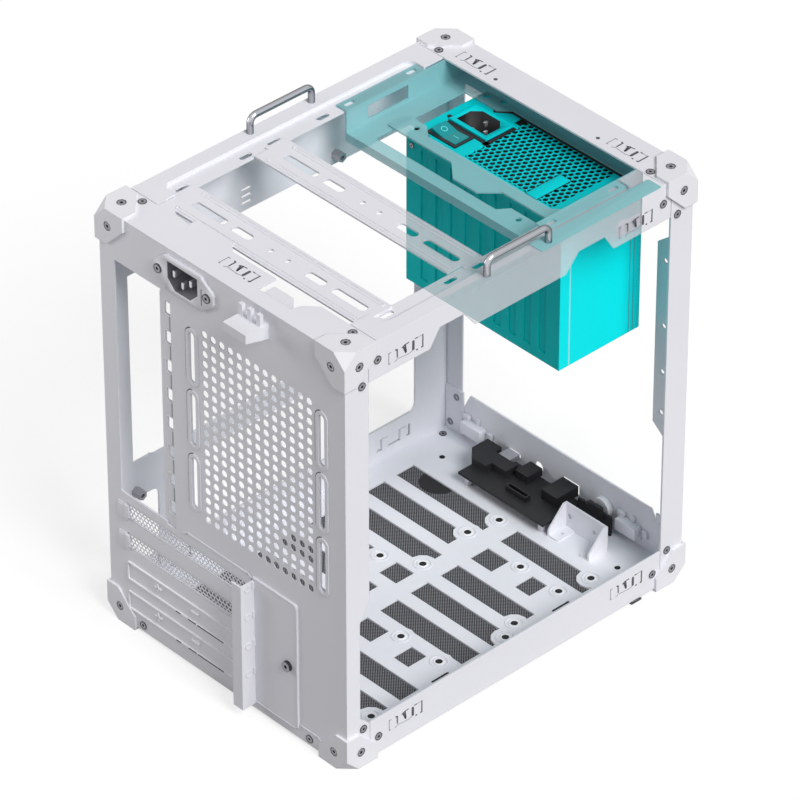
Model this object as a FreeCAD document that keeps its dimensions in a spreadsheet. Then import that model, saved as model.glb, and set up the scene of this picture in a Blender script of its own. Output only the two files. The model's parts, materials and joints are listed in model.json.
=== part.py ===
import FreeCAD, Part
import Sketcher
import math
import os
from types import SimpleNamespace
from FreeCAD import Placement, Rotation, Vector

# An open frame case for a small computer, +Z up, in millimetres.
# The origin lies on the floor under the middle of the corner caps.
# The rear panel looks to -Y, the open side to +X, the front to +Y.

# Driving sizes, kept in the sheet
SIZES = {
    # Overall, over the corner caps
    "case_width": 203.1,
    "case_depth": 267.1,
    "case_height": 286.0,
    "sheet": 1.2,
    "gap": 0.3,
    "bend": 2.0,
    # Corner caps
    "cap_wall": 1.8,
    "cap_leg": 23.5,
    "cap_short": 9.5,
    "cap_nose": 9.0,
    "cap_screw_inset": 10.9,
    "screw_head": 5.8,
    "screw_rise": 1.0,
    "screw_room": 0.1,
    "post_screw_inset": 12.25,
    "post_screw_high": 260.0,
    "post_screw_low": 25.0,
    "rail_screw_inset": 6.5,
    "rail_screw_high": 272.0,
    "rail_screw_low": 13.4,
    "top_screw_across": 14.6,
    "top_screw_along": 19.5,
    "rear_screw_right": 68.9,
    "rear_screw_left": 72.2,
    "rear_screw_up": 6.25,
    # Posts and rails
    "post_flange": 17.25,
    "post_waist": 10.1,
    "post_waist_low": 33.0,
    "post_waist_high": 100.0,
    "post_waist_slant": 13.0,
    "post_face": 16.35,
    "post_wide": 24.95,
    "post_wide_low": 99.0,
    "post_wide_high": 224.0,
    "post_slant": 7.0,
    "post_hole": 3.4,
    "post_hole_inset": 18.5,
    "rail_side": 24.2,
    "rail_relief": 13.2,
    "rail_top_width": 21.55,
    "ledge_width": 11.7,
    "ledge_half": 94.0,
    "ledge_slot_wide": 4.0,
    "ledge_slot_long": 9.0,
    "tongue_reach": 12.5,
    "tongue_hold": 13.5,
    "tongue_height": 14.0,
    "rear_flange": 23.55,
    "front_beam_flange": 22.75,
    "front_beam_drop": 29.2,
    # Handles
    "handle_rod": 4.2,
    "handle_span": 46.4,
    "handle_rise": 12.8,
    "handle_inset": 4.25,
    "handle_bend": 4.5,
    # Rear panel
    "io_left": 88.0,
    "io_width": 44.5,
    "io_low": 94.0,
    "io_height": 159.5,
    "strip_width": 4.1,
    "strip_window": 8.6,
    "strip_pitch": 19.55,
    "strip_first": 105.2,
    "slot_wide": 4.5,
    "slot_left": 23.8,
    "slot_right": 81.3,
    "vent_hole": 4.7,
    "vent_pitch_across": 7.04,
    "vent_pitch_up": 6.68,
    "vent_columns": 13,
    "vent_rows": 20,
    "vent_left": 13.3,
    "vent_low": 114.2,
    "card_slots": 4,
    "card_slot_pitch": 21.0,
    "card_slot_low": 13.4,
    "card_slot_height": 12.0,
    "card_slot_left": 83.5,
    "card_slot_right": 22.0,
    "cover_play": 0.25,
    "clamp_fold": 25.2,
    "clamp_right": 60.5,
    "clamp_low": 8.0,
    "clamp_high": 96.0,
    "clamp_depth": 11.05,
    "clamp_lip": 7.8,
    "clamp_screw_across": 52.9,
    "clamp_screw_up": 50.1,
    "clamp_head": 6.6,
    "clamp_head_rise": 2.2,
    "screw_shank": 3.0,
    "screw_reach": 6.0,
    # Mains inlet on the rear panel
    "inlet_across": 28.2,
    "inlet_up": 268.9,
    "inlet_screws": 40.0,
    "inlet_face_wide": 30.0,
    "inlet_face_high": 23.0,
    "inlet_recess_wide": 24.5,
    "inlet_recess_high": 17.0,
    "inlet_depth": 18.0,
    "inlet_flange": 2.0,
    # Floor tray
    "floor_low": 3.6,
    "tray_wall": 24.6,
    "tray_front": 36.0,
    "tray_front_low": 22.0,
    "gusset_inner": 81.0,
    "floor_slot": 14.4,
    "floor_pitch": 24.0,
    "floor_first": 87.0,
    "floor_slot_edge": 80.3,
    "floor_slot_inner": 8.3,
    "floor_slot_outer": 77.2,
    "boss_radius": 8.7,
    "boss_hole": 4.0,
    "drive_wide": 76.6,
    "drive_long": 61.72,
    "drive_left": 5.95,
    "drive_front": 87.4,
    "disk_wide": 31.75,
    "disk_long": 95.25,
    "disk_left": 34.9,
    "disk_front": 65.2,
    "third_hole_left": 10.1,
    "third_hole_front": 65.7,
    "far_hole_left": 28.8,
    "far_hole_right": 76.5,
    "far_hole_front": 13.0,
    "far_hole_rear": 92.0,
    # Filter and feet
    "filter_thick": 1.2,
    "filter_half_wide": 84.0,
    "filter_half_long": 103.0,
    "pull_tab_along": 95.0,
    "pull_tab_wide": 8.0,
    "pull_tab_low": 0.5,
    "pull_tab_reach": 1.0,
    "foot_wide": 34.0,
    "foot_across": 63.7,
    "foot_along": 96.0,
    # Board side wall
    "wall_window_low": 100.0,
    "wall_window_high": 233.5,
    "wall_bar": 16.0,
    "wall_base": 28.0,
    "wall_rear": 105.0,
    "wall_front": 104.5,
    "wall_open_rear": 97.0,
    "standoff_long": 6.5,
    "standoff_wide": 6.4,
    "standoff_bore": 2.7,
    "standoff_ear": 8.0,
    "board_screw_along": 156.0,
    "board_screw_up": 160.1,
    "board_screw_rear": 114.5,
    "board_screw_low": 80.5,
    # Fan rails
    "fan_rail_wide": 25.1,
    "fan_rail_rear": 91.4,
    "fan_rail_pitch": 68.0,
    "fan_rail_reach": 2.1,
    "fan_slot_wide": 5.5,
    "fan_centre": 3.5,
    # Power supply, its bracket and adapter
    "psu_wide": 125.0,
    "psu_deep": 63.5,
    "psu_tall": 100.0,
    "psu_left": 55.0,
    "psu_rear": 58.5,
    "bracket_top": 268.0,
    "bracket_left": 76.3,
    "bracket_rear": 32.3,
    "bracket_front": 128.0,
    "bracket_bar": 8.7,
    "bracket_lip": 5.7,
    "bracket_ear": 8.7,
    "ring_left": 62.0,
    "ring_right": 65.5,
    "adapter_rear": 54.2,
    "adapter_bar": 8.3,
    "adapter_front": 112.6,
    "fan_wide": 92.0,
    "fan_deep": 15.0,
    "fan_hub": 34.0,
    "fan_blades": 7,
    "fan_play": 1.5,
    "blade_width": 14.0,
    "blade_thick": 1.4,
    "blade_pitch": 40.0,
    "grille_thick": 1.2,
    "grille_bar": 2.2,
    "grille_rings": 3,
    "socket_across": 33.0,
    "socket_along": 96.0,
    "socket_wide": 24.0,
    "socket_high": 16.0,
    "socket_deep": 16.0,
    "bezel_wide": 30.5,
    "bezel_high": 22.0,
    "bezel_rise": 1.2,
    "switch_across": 36.0,
    "switch_along": 74.5,
    "switch_wide": 19.0,
    "switch_high": 11.0,
    "switch_frame": 1.6,
    "rocker_tilt": 6.0,
    # Front panel board and its bracket
    "board_low": 11.4,
    "board_thick": 1.6,
    "board_left": 49.0,
    "board_right": 23.0,
    "board_rear": 95.0,
    "board_front": 127.0,
    "button_across": 38.5,
    "button_up": 17.8,
    "button_wide": 11.0,
    "button_travel": 1.0,
    "button_rise": 1.4,
    "mount_left": 24.4,
    "mount_right": 58.8,
    "mount_top": 22.7,
    "mount_face": 111.5,
    "mount_rear": 97.3,
    # Push clips for the cover panels
    "clip_wide": 26.0,
    "clip_narrow": 20.4,
    "clip_along": 87.0,
    "clip_high": 7.6,
    "clip_room": 0.5,
    "clip_prong": 5.0,
    "clip_prong_inset": 3.0,
    "clip_base": 1.2,
    "side_clip_high": 268.5,
    "side_clip_low": 16.4,
    "top_clip_across": 61.0,
    "top_clip_along": 118.2,
    "rear_clip_along": 117.0,
    "front_clip_left": 70.0,
    "front_clip_right": 59.0,
    "front_clip_up": 14.0,
    "clip_thick": 3.0,
}


# Sizes that know their formula

class Size:
    """A length with its number and its formula in the sheet."""

    def __init__(self, number, formula=None):
        self.number = float(number)
        self.formula = formula or repr(float(number))

    def joined(self, sign, other, number):
        return Size(number, f"({self.formula} {sign} {other.formula})")

    def __add__(self, other):
        other = as_size(other)
        return self.joined("+", other, self.number + other.number)

    def __sub__(self, other):
        other = as_size(other)
        return self.joined("-", other, self.number - other.number)

    def __mul__(self, other):
        other = as_size(other)
        return self.joined("*", other, self.number * other.number)

    def __truediv__(self, other):
        other = as_size(other)
        return self.joined("/", other, self.number / other.number)

    def __radd__(self, other):
        return as_size(other) + self

    def __rsub__(self, other):
        return as_size(other) - self

    def __rmul__(self, other):
        return as_size(other) * self

    def __neg__(self):
        return as_size(0) - self


def as_size(value):
    return value if isinstance(value, Size) else Size(value)


doc = FreeCAD.newDocument("open_frame_case")
sheet = doc.addObject("Spreadsheet::Sheet", "Sizes")
for row, (alias, number) in enumerate(SIZES.items(), start=1):
    sheet.set(f"A{row}", alias)
    sheet.set(f"B{row}", str(number))
    sheet.setAlias(f"B{row}", alias)
doc.recompute()
d = SimpleNamespace(**{alias: Size(number, f"Sizes.{alias}") for alias, number in SIZES.items()})
nodes = []


def bind(thing, name, value):
    """Set a property and tie it to the sheet."""
    if isinstance(value, int) and "." not in name:
        setattr(thing, name, value)
    else:
        thing.setExpression(name, as_size(value).formula)


def keep(thing, label):
    """Make an object one of the part's pieces."""
    thing.Label = label
    nodes.append(thing)
    return thing


# Outlines for sketches

HEAD_SIDES = 8
HOLE_SIDES = 12
RING_SIDES = 24

def rectangle(left, right, low, high, radius=None):
    corners = [(left, low), (right, low), (right, high), (left, high)]
    return polygon([corner + (radius,) if radius is not None else corner for corner in corners])


def polygon(points):
    return ("polygon", points)


def disc(across, up, radius):
    return ("disc", across, up, radius)


def regular(across, up, radius, sides):
    """A closed outline with equal sides about a middle."""
    return polygon([(across + radius * math.cos(2 * math.pi * turn / sides),
                     up + radius * math.sin(2 * math.pi * turn / sides)) for turn in range(sides)])


def hole(across, up, radius):
    """A small round hole, drawn with few sides because there are many."""
    return regular(across, up, radius, HOLE_SIDES)


def slot(left, right, low, high):
    return ("slot", left, right, low, high)


def fix_point(rules, piece, end, across, up):
    """Hold one point of a curve at its distances from the sketch's origin."""
    for kind, value in (("DistanceX", across), ("DistanceY", up)):
        value = as_size(value)
        rules.append((Sketcher.Constraint(kind, -1, 1, piece, end, value.number), value))


def joint_of(rules, first, first_end, second, second_end):
    rules.append((Sketcher.Constraint("Coincident", first, first_end, second, second_end), None))


def rounding(before, at, after, radius):
    """Where an arc that rounds a corner starts, ends and has its centre."""
    to_before = Vector(before[0].number - at[0].number, before[1].number - at[1].number)
    to_after = Vector(after[0].number - at[0].number, after[1].number - at[1].number)
    to_before.normalize()
    to_after.normalize()
    half = to_before.getAngle(to_after) / 2
    middle = (to_before + to_after).normalize()
    reach = radius / math.tan(half)
    depth = radius / math.sin(half)
    start = (at[0] + reach * to_before.x, at[1] + reach * to_before.y)
    end = (at[0] + reach * to_after.x, at[1] + reach * to_after.y)
    centre = (at[0] + depth * middle.x, at[1] + depth * middle.y)
    left_turn = to_before.cross(to_after).z < 0
    return start, end, centre, middle, left_turn


def arc_between(start, end, centre):
    """A counter-clockwise arc of a sketch."""
    middle = Vector(centre[0].number, centre[1].number)
    first = Vector(start[0].number, start[1].number) - middle
    last = Vector(end[0].number, end[1].number) - middle
    begin = math.atan2(first.y, first.x)
    finish = math.atan2(last.y, last.x)
    if finish <= begin:
        finish += 2 * math.pi
    return Part.ArcOfCircle(Part.Circle(middle, Vector(0, 0, 1), first.Length), begin, finish)


def line_between(start, end):
    return Part.LineSegment(
        Vector(start[0].number, start[1].number), Vector(end[0].number, end[1].number))


def draw_polygon(curves, rules, points):
    spots = [(as_size(point[0]), as_size(point[1])) for point in points]
    radii = [point[2] if len(point) > 2 else None for point in points]
    count = len(points)
    ends = []
    for index, spot in enumerate(spots):
        if radii[index] is None:
            ends.append((spot, spot, None))
        else:
            around = (spots[index - 1], spot, spots[(index + 1) % count])
            ends.append(rounding(*around, as_size(radii[index])))
    first = len(curves)
    for index in range(count):
        start = ends[index][1]
        end = ends[(index + 1) % count][0]
        curves.append(line_between(start, end))
        fix_point(rules, first + index, 1, *start)
    for index in range(count):
        line = first + index
        before = first + (index - 1) % count
        if radii[index] is None:
            joint_of(rules, before, 2, line, 1)
            continue
        start, end, centre, middle, left_turn = ends[index]
        fix_point(rules, before, 2, *start)
        arc = len(curves)
        if left_turn:
            curves.append(arc_between(start, end, centre))
            joint_of(rules, arc, 1, before, 2)
            joint_of(rules, arc, 2, line, 1)
        else:
            curves.append(arc_between(end, start, centre))
            joint_of(rules, arc, 2, before, 2)
            joint_of(rules, arc, 1, line, 1)
        side = 0 if abs(middle.x) > abs(middle.y) else 1
        kind = ("DistanceX", "DistanceY")[side]
        rules.append((Sketcher.Constraint(kind, -1, 1, arc, 3, centre[side].number), centre[side]))


def draw_slot(curves, rules, left, right, low, high):
    left, right, low, high = (as_size(value) for value in (left, right, low, high))
    first = len(curves)
    if right.number - left.number > high.number - low.number:
        radius = (high - low) / 2
        middle = (low + high) / 2
        points = [(left + radius, low), (right - radius, low), (right - radius, high), (left + radius, high)]
        centres = [(right - radius, middle), (left + radius, middle)]
        kind, side = "DistanceX", 0
    else:
        radius = (right - left) / 2
        middle = (left + right) / 2
        points = [(right, low + radius), (right, high - radius), (left, high - radius), (left, low + radius)]
        centres = [(middle, high - radius), (middle, low + radius)]
        kind, side = "DistanceY", 1
    curves.append(line_between(points[0], points[1]))
    curves.append(arc_between(points[1], points[2], centres[0]))
    curves.append(line_between(points[2], points[3]))
    curves.append(arc_between(points[3], points[0], centres[1]))
    for line, start, end in ((first, 0, 1), (first + 2, 2, 3)):
        fix_point(rules, line, 1, *points[start])
        fix_point(rules, line, 2, *points[end])
    for arc, before, after, centre in (
            (first + 1, first, first + 2, centres[0]), (first + 3, first + 2, first, centres[1])):
        joint_of(rules, arc, 1, before, 2)
        joint_of(rules, arc, 2, after, 1)
        rules.append((Sketcher.Constraint(kind, -1, 1, arc, 3, centre[side].number), centre[side]))


def draw_disc(curves, rules, across, up, radius):
    across, up, radius = as_size(across), as_size(up), as_size(radius)
    curves.append(Part.Circle(Vector(across.number, up.number), Vector(0, 0, 1), radius.number))
    fix_point(rules, len(curves) - 1, 3, across, up)
    rules.append((Sketcher.Constraint("Radius", len(curves) - 1, radius.number), radius))


def fill_sketch(sketch, shapes):
    """Draw closed outlines and tie every point of them to the sheet."""
    drawers = {"polygon": draw_polygon, "slot": draw_slot, "disc": draw_disc}
    curves = []
    rules = []
    for shape in shapes:
        drawers[shape[0]](curves, rules, *shape[1:])
    draw(sketch, curves, rules)


def draw(sketch, curves, rules):
    sketch.addGeometry(curves, False)
    sketch.addConstraint([rule for rule, value in rules])
    for index, (rule, value) in enumerate(rules):
        if value is not None and "Sizes." in value.formula:
            sketch.setExpression(f"Constraints[{index}]", value.formula)


# Bodies of sheet metal and moulded pieces

PLANES = {"XY": ("XY_Plane", 1), "XZ": ("XZ_Plane", -1), "YZ": ("YZ_Plane", 1)}


def new_body(label):
    return keep(doc.addObject("PartDesign::Body", label), label)


def new_sketch(body, plane, level, shapes):
    """A sketch parallel to one of the body's planes, at a level along that plane's axis."""
    role, direction = PLANES[plane]
    support = [item for item in body.Origin.OriginFeatures if item.Role == role][0]
    sketch = body.newObject("Sketcher::SketchObject", f"{body.Name}_outline")
    sketch.AttachmentSupport = [(support, "")]
    sketch.MapMode = "FlatFace"
    bind(sketch, "AttachmentOffset.Base.z", as_size(level) * direction)
    fill_sketch(sketch, shapes)
    return sketch


def slab(body, plane, low, high, *shapes):
    """Add material between two levels."""
    sketch = new_sketch(body, plane, low, shapes)
    pad = body.newObject("PartDesign::Pad", f"{body.Name}_pad")
    pad.Profile = sketch
    bind(pad, "Length", as_size(high) - low)
    pad.Reversed = PLANES[plane][1] < 0
    sketch.Visibility = False
    return pad


def opening(body, plane, low, high, *shapes):
    """Take material away between two levels."""
    sketch = new_sketch(body, plane, low, shapes)
    pocket = body.newObject("PartDesign::Pocket", f"{body.Name}_cut")
    pocket.Profile = sketch
    bind(pocket, "Length", as_size(high) - low)
    pocket.Reversed = PLANES[plane][1] > 0
    sketch.Visibility = False
    return pocket


def grid(body, pocket, across, across_count, up, up_count):
    """Repeat an opening in rows and columns of its own sketch."""
    rows = body.newObject("PartDesign::MultiTransform", f"{body.Name}_grid")
    rows.Originals = [pocket]
    steps = []
    for axis, spacing, count in (("H_Axis", across, across_count), ("V_Axis", up, up_count)):
        step = body.newObject("PartDesign::LinearPattern", f"{body.Name}_row")
        step.Direction = (pocket.Profile[0], [axis])
        step.Mode = "Spacing"
        bind(step, "Offset", spacing)
        bind(step, "Occurrences", count)
        steps.append(step)
    rows.Transformations = steps
    body.Tip = rows
    return rows


def ordered(side, inner, outer):
    """Two levels on one side of the middle, the lower one first."""
    return (inner, outer) if side > 0 else (-outer, -inner)


def mirrored(side, points):
    """Points of an outline on one side of the middle, still in turning order."""
    if side > 0:
        return points
    return [(-as_size(point[0]),) + tuple(point[1:]) for point in reversed(points)]


# Primitives

AXES = {"X": Rotation(Vector(0, 1, 0), 90), "Y": Rotation(Vector(1, 0, 0), -90), "Z": Rotation()}


def place(thing, across, along, up):
    for axis, value in (("x", across), ("y", along), ("z", up)):
        bind(thing, f"Placement.Base.{axis}", value)


def rod(label, axis, across, along, up, radius, length):
    """A cylinder that starts at a point and runs along an axis."""
    thing = doc.addObject("Part::Cylinder", label)
    thing.Placement = Placement(Vector(), AXES[axis])
    bind(thing, "Radius", radius)
    bind(thing, "Height", length)
    place(thing, across, along, up)
    return thing


def prism(label, sides, axis, across, along, up, radius, length):
    """A bar with equal sides that starts at a point and runs along an axis."""
    thing = doc.addObject("Part::Prism", label)
    thing.Polygon = sides
    thing.Placement = Placement(Vector(), AXES[axis])
    bind(thing, "Circumradius", radius)
    bind(thing, "Height", length)
    place(thing, across, along, up)
    return thing


def block(label, across, along, up):
    """A box between pairs of levels."""
    thing = doc.addObject("Part::Box", label)
    for name, (low, high) in (("Length", across), ("Width", along), ("Height", up)):
        bind(thing, name, as_size(high) - low)
    place(thing, across[0], along[0], up[0])
    return thing


def group(label, pieces):
    """Like pieces that share one node, each a solid of its own."""
    thing = doc.addObject("Part::Compound", label)
    thing.Links = pieces
    return keep(thing, label)


def fused(label, pieces):
    thing = doc.addObject("Part::MultiFuse", label)
    thing.Shapes = pieces
    return thing


def carved(label, base, tools):
    thing = doc.addObject("Part::Cut", label)
    thing.Base = base
    thing.Tool = tools[0] if len(tools) == 1 else fused(f"{label}_tools", tools)
    return thing


# Places that many pieces share

half_wide = d.case_width / 2
half_deep = d.case_depth / 2
wall_x = half_wide - d.cap_wall
wall_y = half_deep - d.cap_wall
frame_low = d.cap_wall
frame_top = d.case_height - d.cap_wall
inner_x = wall_x - d.sheet
inner_y = wall_y - d.sheet
corner_clip = d.cap_nose + (math.sqrt(3) - 3) * d.cap_wall + d.gap
post_edge = wall_y - d.post_flange
floor_top = d.floor_low + d.sheet
ledge_drop = 2 * d.sheet
ledge_top = frame_top - ledge_drop
ledge_inner = wall_x - d.rail_top_width
ledge_outer = ledge_inner + d.ledge_width
rear_flange_edge = wall_y - d.rear_flange
front_flange_edge = wall_y - d.front_beam_flange
tongue_x = inner_x - d.sheet
tongue_end = post_edge + d.tongue_reach


# Corner caps

def corner_cap(label, x_side, y_side, z_side):
    """A shell over one corner of the frame, drawn from the corner inwards."""
    body = new_body(label)
    across = Vector(-x_side, 0, 0)
    along = Vector(0, -y_side, 0)
    up = Vector(0, 0, -z_side)
    if x_side * y_side * z_side > 0:
        across, along = along, across
    body.Placement = Placement(Vector(), Rotation(across, along, up, "ZXY"))
    place(body, half_wide * x_side, half_deep * y_side, d.case_height if z_side > 0 else 0)
    leg, short = d.cap_leg, d.cap_short
    face = polygon([(0, 0), (leg, 0), (leg, short), (short, leg), (0, leg)])
    for plane in PLANES:
        slab(body, plane, 0, d.cap_wall, face)
    third = d.cap_nose / 3
    for reach, kind in ((d.cap_nose * math.sqrt(2 / 3), "PartDesign::Pad"),
                        (d.cap_nose * 2, "PartDesign::Pocket")):
        turns = [(reach * math.cos(angle), reach * math.sin(angle))
                 for angle in (math.radians(30), math.radians(150), math.radians(270))]
        sketch = new_sketch(body, "XY", 0, [polygon(turns)])
        slant = Rotation(Vector(1, -1, 0), Vector(1, 1, -2), Vector(1, 1, 1), "ZXY")
        sketch.AttachmentOffset = Placement(Vector(), slant)
        for axis in "xyz":
            bind(sketch, f"AttachmentOffset.Base.{axis}", third)
        feature = body.newObject(kind, f"{body.Name}_nose")
        feature.Profile = sketch
        bind(feature, "Length", d.cap_wall if kind.endswith("Pad") else d.cap_nose)
    inset = d.cap_screw_inset
    for plane in PLANES:
        opening(body, plane, 0, d.screw_rise, regular(
            inset, inset, d.screw_head / 2 + d.screw_room, HEAD_SIDES))
    return body


def head(axis, across, along, up):
    """The flat head of a screw, drawn with few sides."""
    return prism("screw_head", HEAD_SIDES, axis, across, along, up, d.screw_head / 2, d.screw_rise)


def cap_screws():
    """The flat heads that hold the caps, three to a corner."""
    heads = []
    inset = d.cap_screw_inset
    for x_side in (1, -1):
        for y_side in (1, -1):
            for z_side in (1, -1):
                x_in = (half_wide - inset) * x_side
                y_in = (half_deep - inset) * y_side
                z_in = d.case_height - inset if z_side > 0 else inset
                x_out = half_wide - d.screw_rise if x_side > 0 else -half_wide
                y_out = half_deep - d.screw_rise if y_side > 0 else -half_deep
                z_out = d.case_height - d.screw_rise if z_side > 0 else as_size(0)
                heads += [head("X", x_out, y_in, z_in), head("Y", x_in, y_out, z_in),
                          head("Z", x_in, y_in, z_out)]
    return group("cap_screws", heads)


# Rear panel

def side_flange(body, side):
    """The folded edge that makes the panel the rear post of one side."""
    waist = wall_y - d.post_waist
    low, high = ordered(side, inner_x, wall_x)
    slab(body, "YZ", low, high, polygon([
        (-wall_y, frame_low + corner_clip), (-wall_y + corner_clip, frame_low),
        (-post_edge, frame_low), (-post_edge, frame_low + d.tray_wall),
        (-waist, d.post_waist_low), (-waist, d.post_waist_high),
        (-post_edge, d.post_waist_high + d.post_waist_slant), (-post_edge, frame_top),
        (-wall_y + corner_clip, frame_top), (-wall_y, frame_top - corner_clip)]))


def rear_panel():
    body = new_body("rear_panel")
    back, front = -wall_y, -inner_y
    clip = corner_clip
    slab(body, "XZ", back, front, polygon([
        (-wall_x + clip, frame_low), (wall_x - clip, frame_low),
        (wall_x, frame_low + clip), (wall_x, frame_top - clip),
        (wall_x - clip, frame_top), (-wall_x + clip, frame_top),
        (-wall_x, frame_top - clip), (-wall_x, frame_low + clip)]))
    side_flange(body, 1)
    side_flange(body, -1)
    edge = -rear_flange_edge
    shoulder = wall_x - d.sheet - d.gap
    slab(body, "XY", frame_top - d.sheet, frame_top, polygon([
        (-wall_x + clip, back), (wall_x - clip, back), (wall_x, back + clip),
        (wall_x, -post_edge), (shoulder, -post_edge), (shoulder, edge),
        (56, edge), (48.5, edge - 7), (46, edge - 13.4), (19.8, edge - 13.4), (19.8, edge),
        (-15.3, edge), (-23, edge + 6.5), (-51.5, edge + 6.5), (-51.1, edge),
        (-63.3, edge + 1.4), (-73, edge + 7.5), (-77, edge + 7.5), (-77, edge),
        (-shoulder, edge), (-shoulder, -post_edge), (-wall_x, -post_edge), (-wall_x, back + clip)]))
    # The opening for the board's sockets, with its stepped spring edge
    io_right = -d.io_left + d.io_width
    opening(body, "XZ", back, front, rectangle(
        -d.io_left, io_right, d.io_low, d.io_low + d.io_height, d.sheet))
    slab(body, "XZ", front, front + d.sheet, rectangle(
        io_right - d.strip_width, io_right + 2, d.io_low - 2, d.io_low + d.io_height - 2, d.sheet))
    window = opening(body, "XZ", front, front + d.sheet, rectangle(
        io_right - d.strip_width + 1, io_right - 0.6,
        d.strip_first - d.strip_window / 2, d.strip_first + d.strip_window / 2))
    grid(body, window, 1, 1, d.strip_pitch, 8)
    # Long slots beside the vent
    half = d.slot_wide / 2
    slots = []
    for middle in (-d.slot_left, d.slot_right):
        for low, high in ((117.5, 151.5), (160.8, 195.4), (203.5, 237.2)):
            slots.append(slot(middle - half, middle + half, low, high))
    left, right = -d.inlet_across - 14.2, -d.inlet_across + 14.2
    opening(body, "XZ", back, front, *slots,
            rectangle(left, right, d.inlet_up - 10.4, d.inlet_up + 10.4),
            rectangle(22.5, 38.7, 266.5, 275.6),
            hole(d.clamp_screw_across, d.clamp_screw_up, d.screw_shank / 2 + d.gap))
    # Openings for the expansion cards
    card = opening(body, "XZ", back, front, rectangle(
        -d.card_slot_left, d.card_slot_right,
        d.card_slot_low, d.card_slot_low + d.card_slot_height))
    grid(body, card, 1, 1, d.card_slot_pitch, d.card_slots)
    # The vent, as square holes with the area of the round ones
    half = d.vent_hole * math.sqrt(math.pi) / 4
    vent = opening(body, "XZ", back, front, rectangle(
        -d.vent_left - half, -d.vent_left + half, d.vent_low - half, d.vent_low + half))
    grid(body, vent, d.vent_pitch_across, d.vent_columns, d.vent_pitch_up, d.vent_rows)
    return body


def slot_cover(number, tab):
    """A strip that closes one expansion card opening, with a tab outside when it hooks in."""
    body = new_body(f"slot_cover_{number}")
    low = d.card_slot_low + d.card_slot_pitch * (number - 1)
    play = d.cover_play
    slab(body, "XZ", -wall_y, -inner_y, rectangle(
        -d.card_slot_left + play, d.card_slot_right - play,
        low + play, low + d.card_slot_height - play))
    if tab:
        left = -d.card_slot_left
        slab(body, "XZ", -wall_y - d.sheet, -wall_y, rectangle(
            left - 7.5, left + 2, low + 0.6, low + d.card_slot_height - 0.6, 1.5))
    return body


def slot_clamp():
    """The bracket outside that holds the covers, folded out as a shelf."""
    body = new_body("slot_clamp")
    fold = d.clamp_fold
    outer = -wall_y - d.sheet
    lip = -wall_y - d.clamp_depth
    slab(body, "XZ", outer, -wall_y, polygon([
        (fold - d.sheet, d.clamp_low), (d.clamp_right, d.clamp_low, d.bend),
        (d.clamp_right, d.clamp_high, d.bend), (fold - d.sheet, d.clamp_high)]))
    slab(body, "YZ", fold - d.sheet, fold, rectangle(
        lip, -wall_y, d.clamp_low - 1, d.clamp_high - 2))
    slab(body, "XZ", lip, lip + d.sheet, rectangle(
        fold - d.clamp_lip, fold, d.clamp_low - 1, d.clamp_high - 2))
    opening(body, "XZ", outer, -wall_y, hole(
        d.clamp_screw_across, d.clamp_screw_up, d.screw_shank / 2 + d.gap))
    return body


def clamp_screw():
    across, up = d.clamp_screw_across, d.clamp_screw_up
    start = -wall_y - d.sheet
    top = rod("clamp_screw_head", "Y", across, start - d.clamp_head_rise, up,
              d.clamp_head / 2, d.clamp_head_rise)
    shank = rod("clamp_screw_shank", "Y", across, start, up, d.screw_shank / 2, d.screw_reach)
    return keep(fused("clamp_screw", [top, shank]), "clamp_screw")


def rear_inlet():
    """A mains inlet with its flange outside and its body through the panel."""
    body = new_body("rear_inlet")
    middle, up = -d.inlet_across, d.inlet_up
    half, tall = d.inlet_face_wide / 2, d.inlet_face_high / 2
    ear = d.inlet_screws / 2
    outer = -wall_y - d.inlet_flange
    slab(body, "XZ", outer, -wall_y, polygon([
        (middle - half, up - tall, 2), (middle + half, up - tall, 2),
        (middle + ear + 5, up - 4, 3), (middle + ear + 5, up + 4, 3),
        (middle + half, up + tall, 2), (middle - half, up + tall, 2),
        (middle - ear - 5, up + 4, 3), (middle - ear - 5, up - 4, 3)]))
    slab(body, "XZ", -wall_y, -wall_y + d.inlet_depth, rectangle(
        middle - 13.9, middle + 13.9, up - 10.1, up + 10.1))
    wide, high = d.inlet_recess_wide / 2, d.inlet_recess_high / 2
    opening(body, "XZ", outer, -wall_y + d.inlet_depth - 2, polygon([
        (middle - wide + 6, up - high), (middle + wide - 6, up - high),
        (middle + wide, up - high + 6), (middle + wide, up + high),
        (middle - wide, up + high), (middle - wide, up - high + 6)]))
    return body


def inlet_pins():
    middle, up = -d.inlet_across, d.inlet_up
    floor = -wall_y + d.inlet_depth - 2
    pins = []
    for across, rise in ((-7, -2), (0, 2), (7, -2)):
        pins.append(block("inlet_pin", (middle + across - 1, middle + across + 1),
                          (floor - 12, floor), (up + rise - 2, up + rise + 2)))
    return group("rear_inlet_pins", pins)


def inlet_screws():
    outer = -wall_y - d.inlet_flange - d.screw_rise
    heads = [head("Y", -d.inlet_across + d.inlet_screws / 2 * side, outer, d.inlet_up) for side in (-1, 1)]
    return group("rear_inlet_screws", heads)


def rear_clip():
    """The moulded clip that holds the top cover, through the panel and proud of it."""
    body = new_body("rear_clip")
    slab(body, "YZ", 21.4, 39.8, polygon([
        (-wall_y - 16.9, 270.5), (-wall_y, 265.9), (-wall_y, 276.2), (-wall_y - 16.9, 276.2)]))
    slab(body, "YZ", 23, 38.2, polygon([
        (-wall_y, 267), (-wall_y + 19.5, 267), (-wall_y + 19.5, 282.6),
        (-wall_y + 10.5, 282.6), (-wall_y + 10.5, 275.2), (-wall_y, 275.2)]))
    for left in (22, 29, 36.2):
        slab(body, "XZ", -wall_y - 6, -wall_y - 3.4, rectangle(left, left + 3, 275, 283.6))
    return body


# Top rails, front beam and posts

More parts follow.
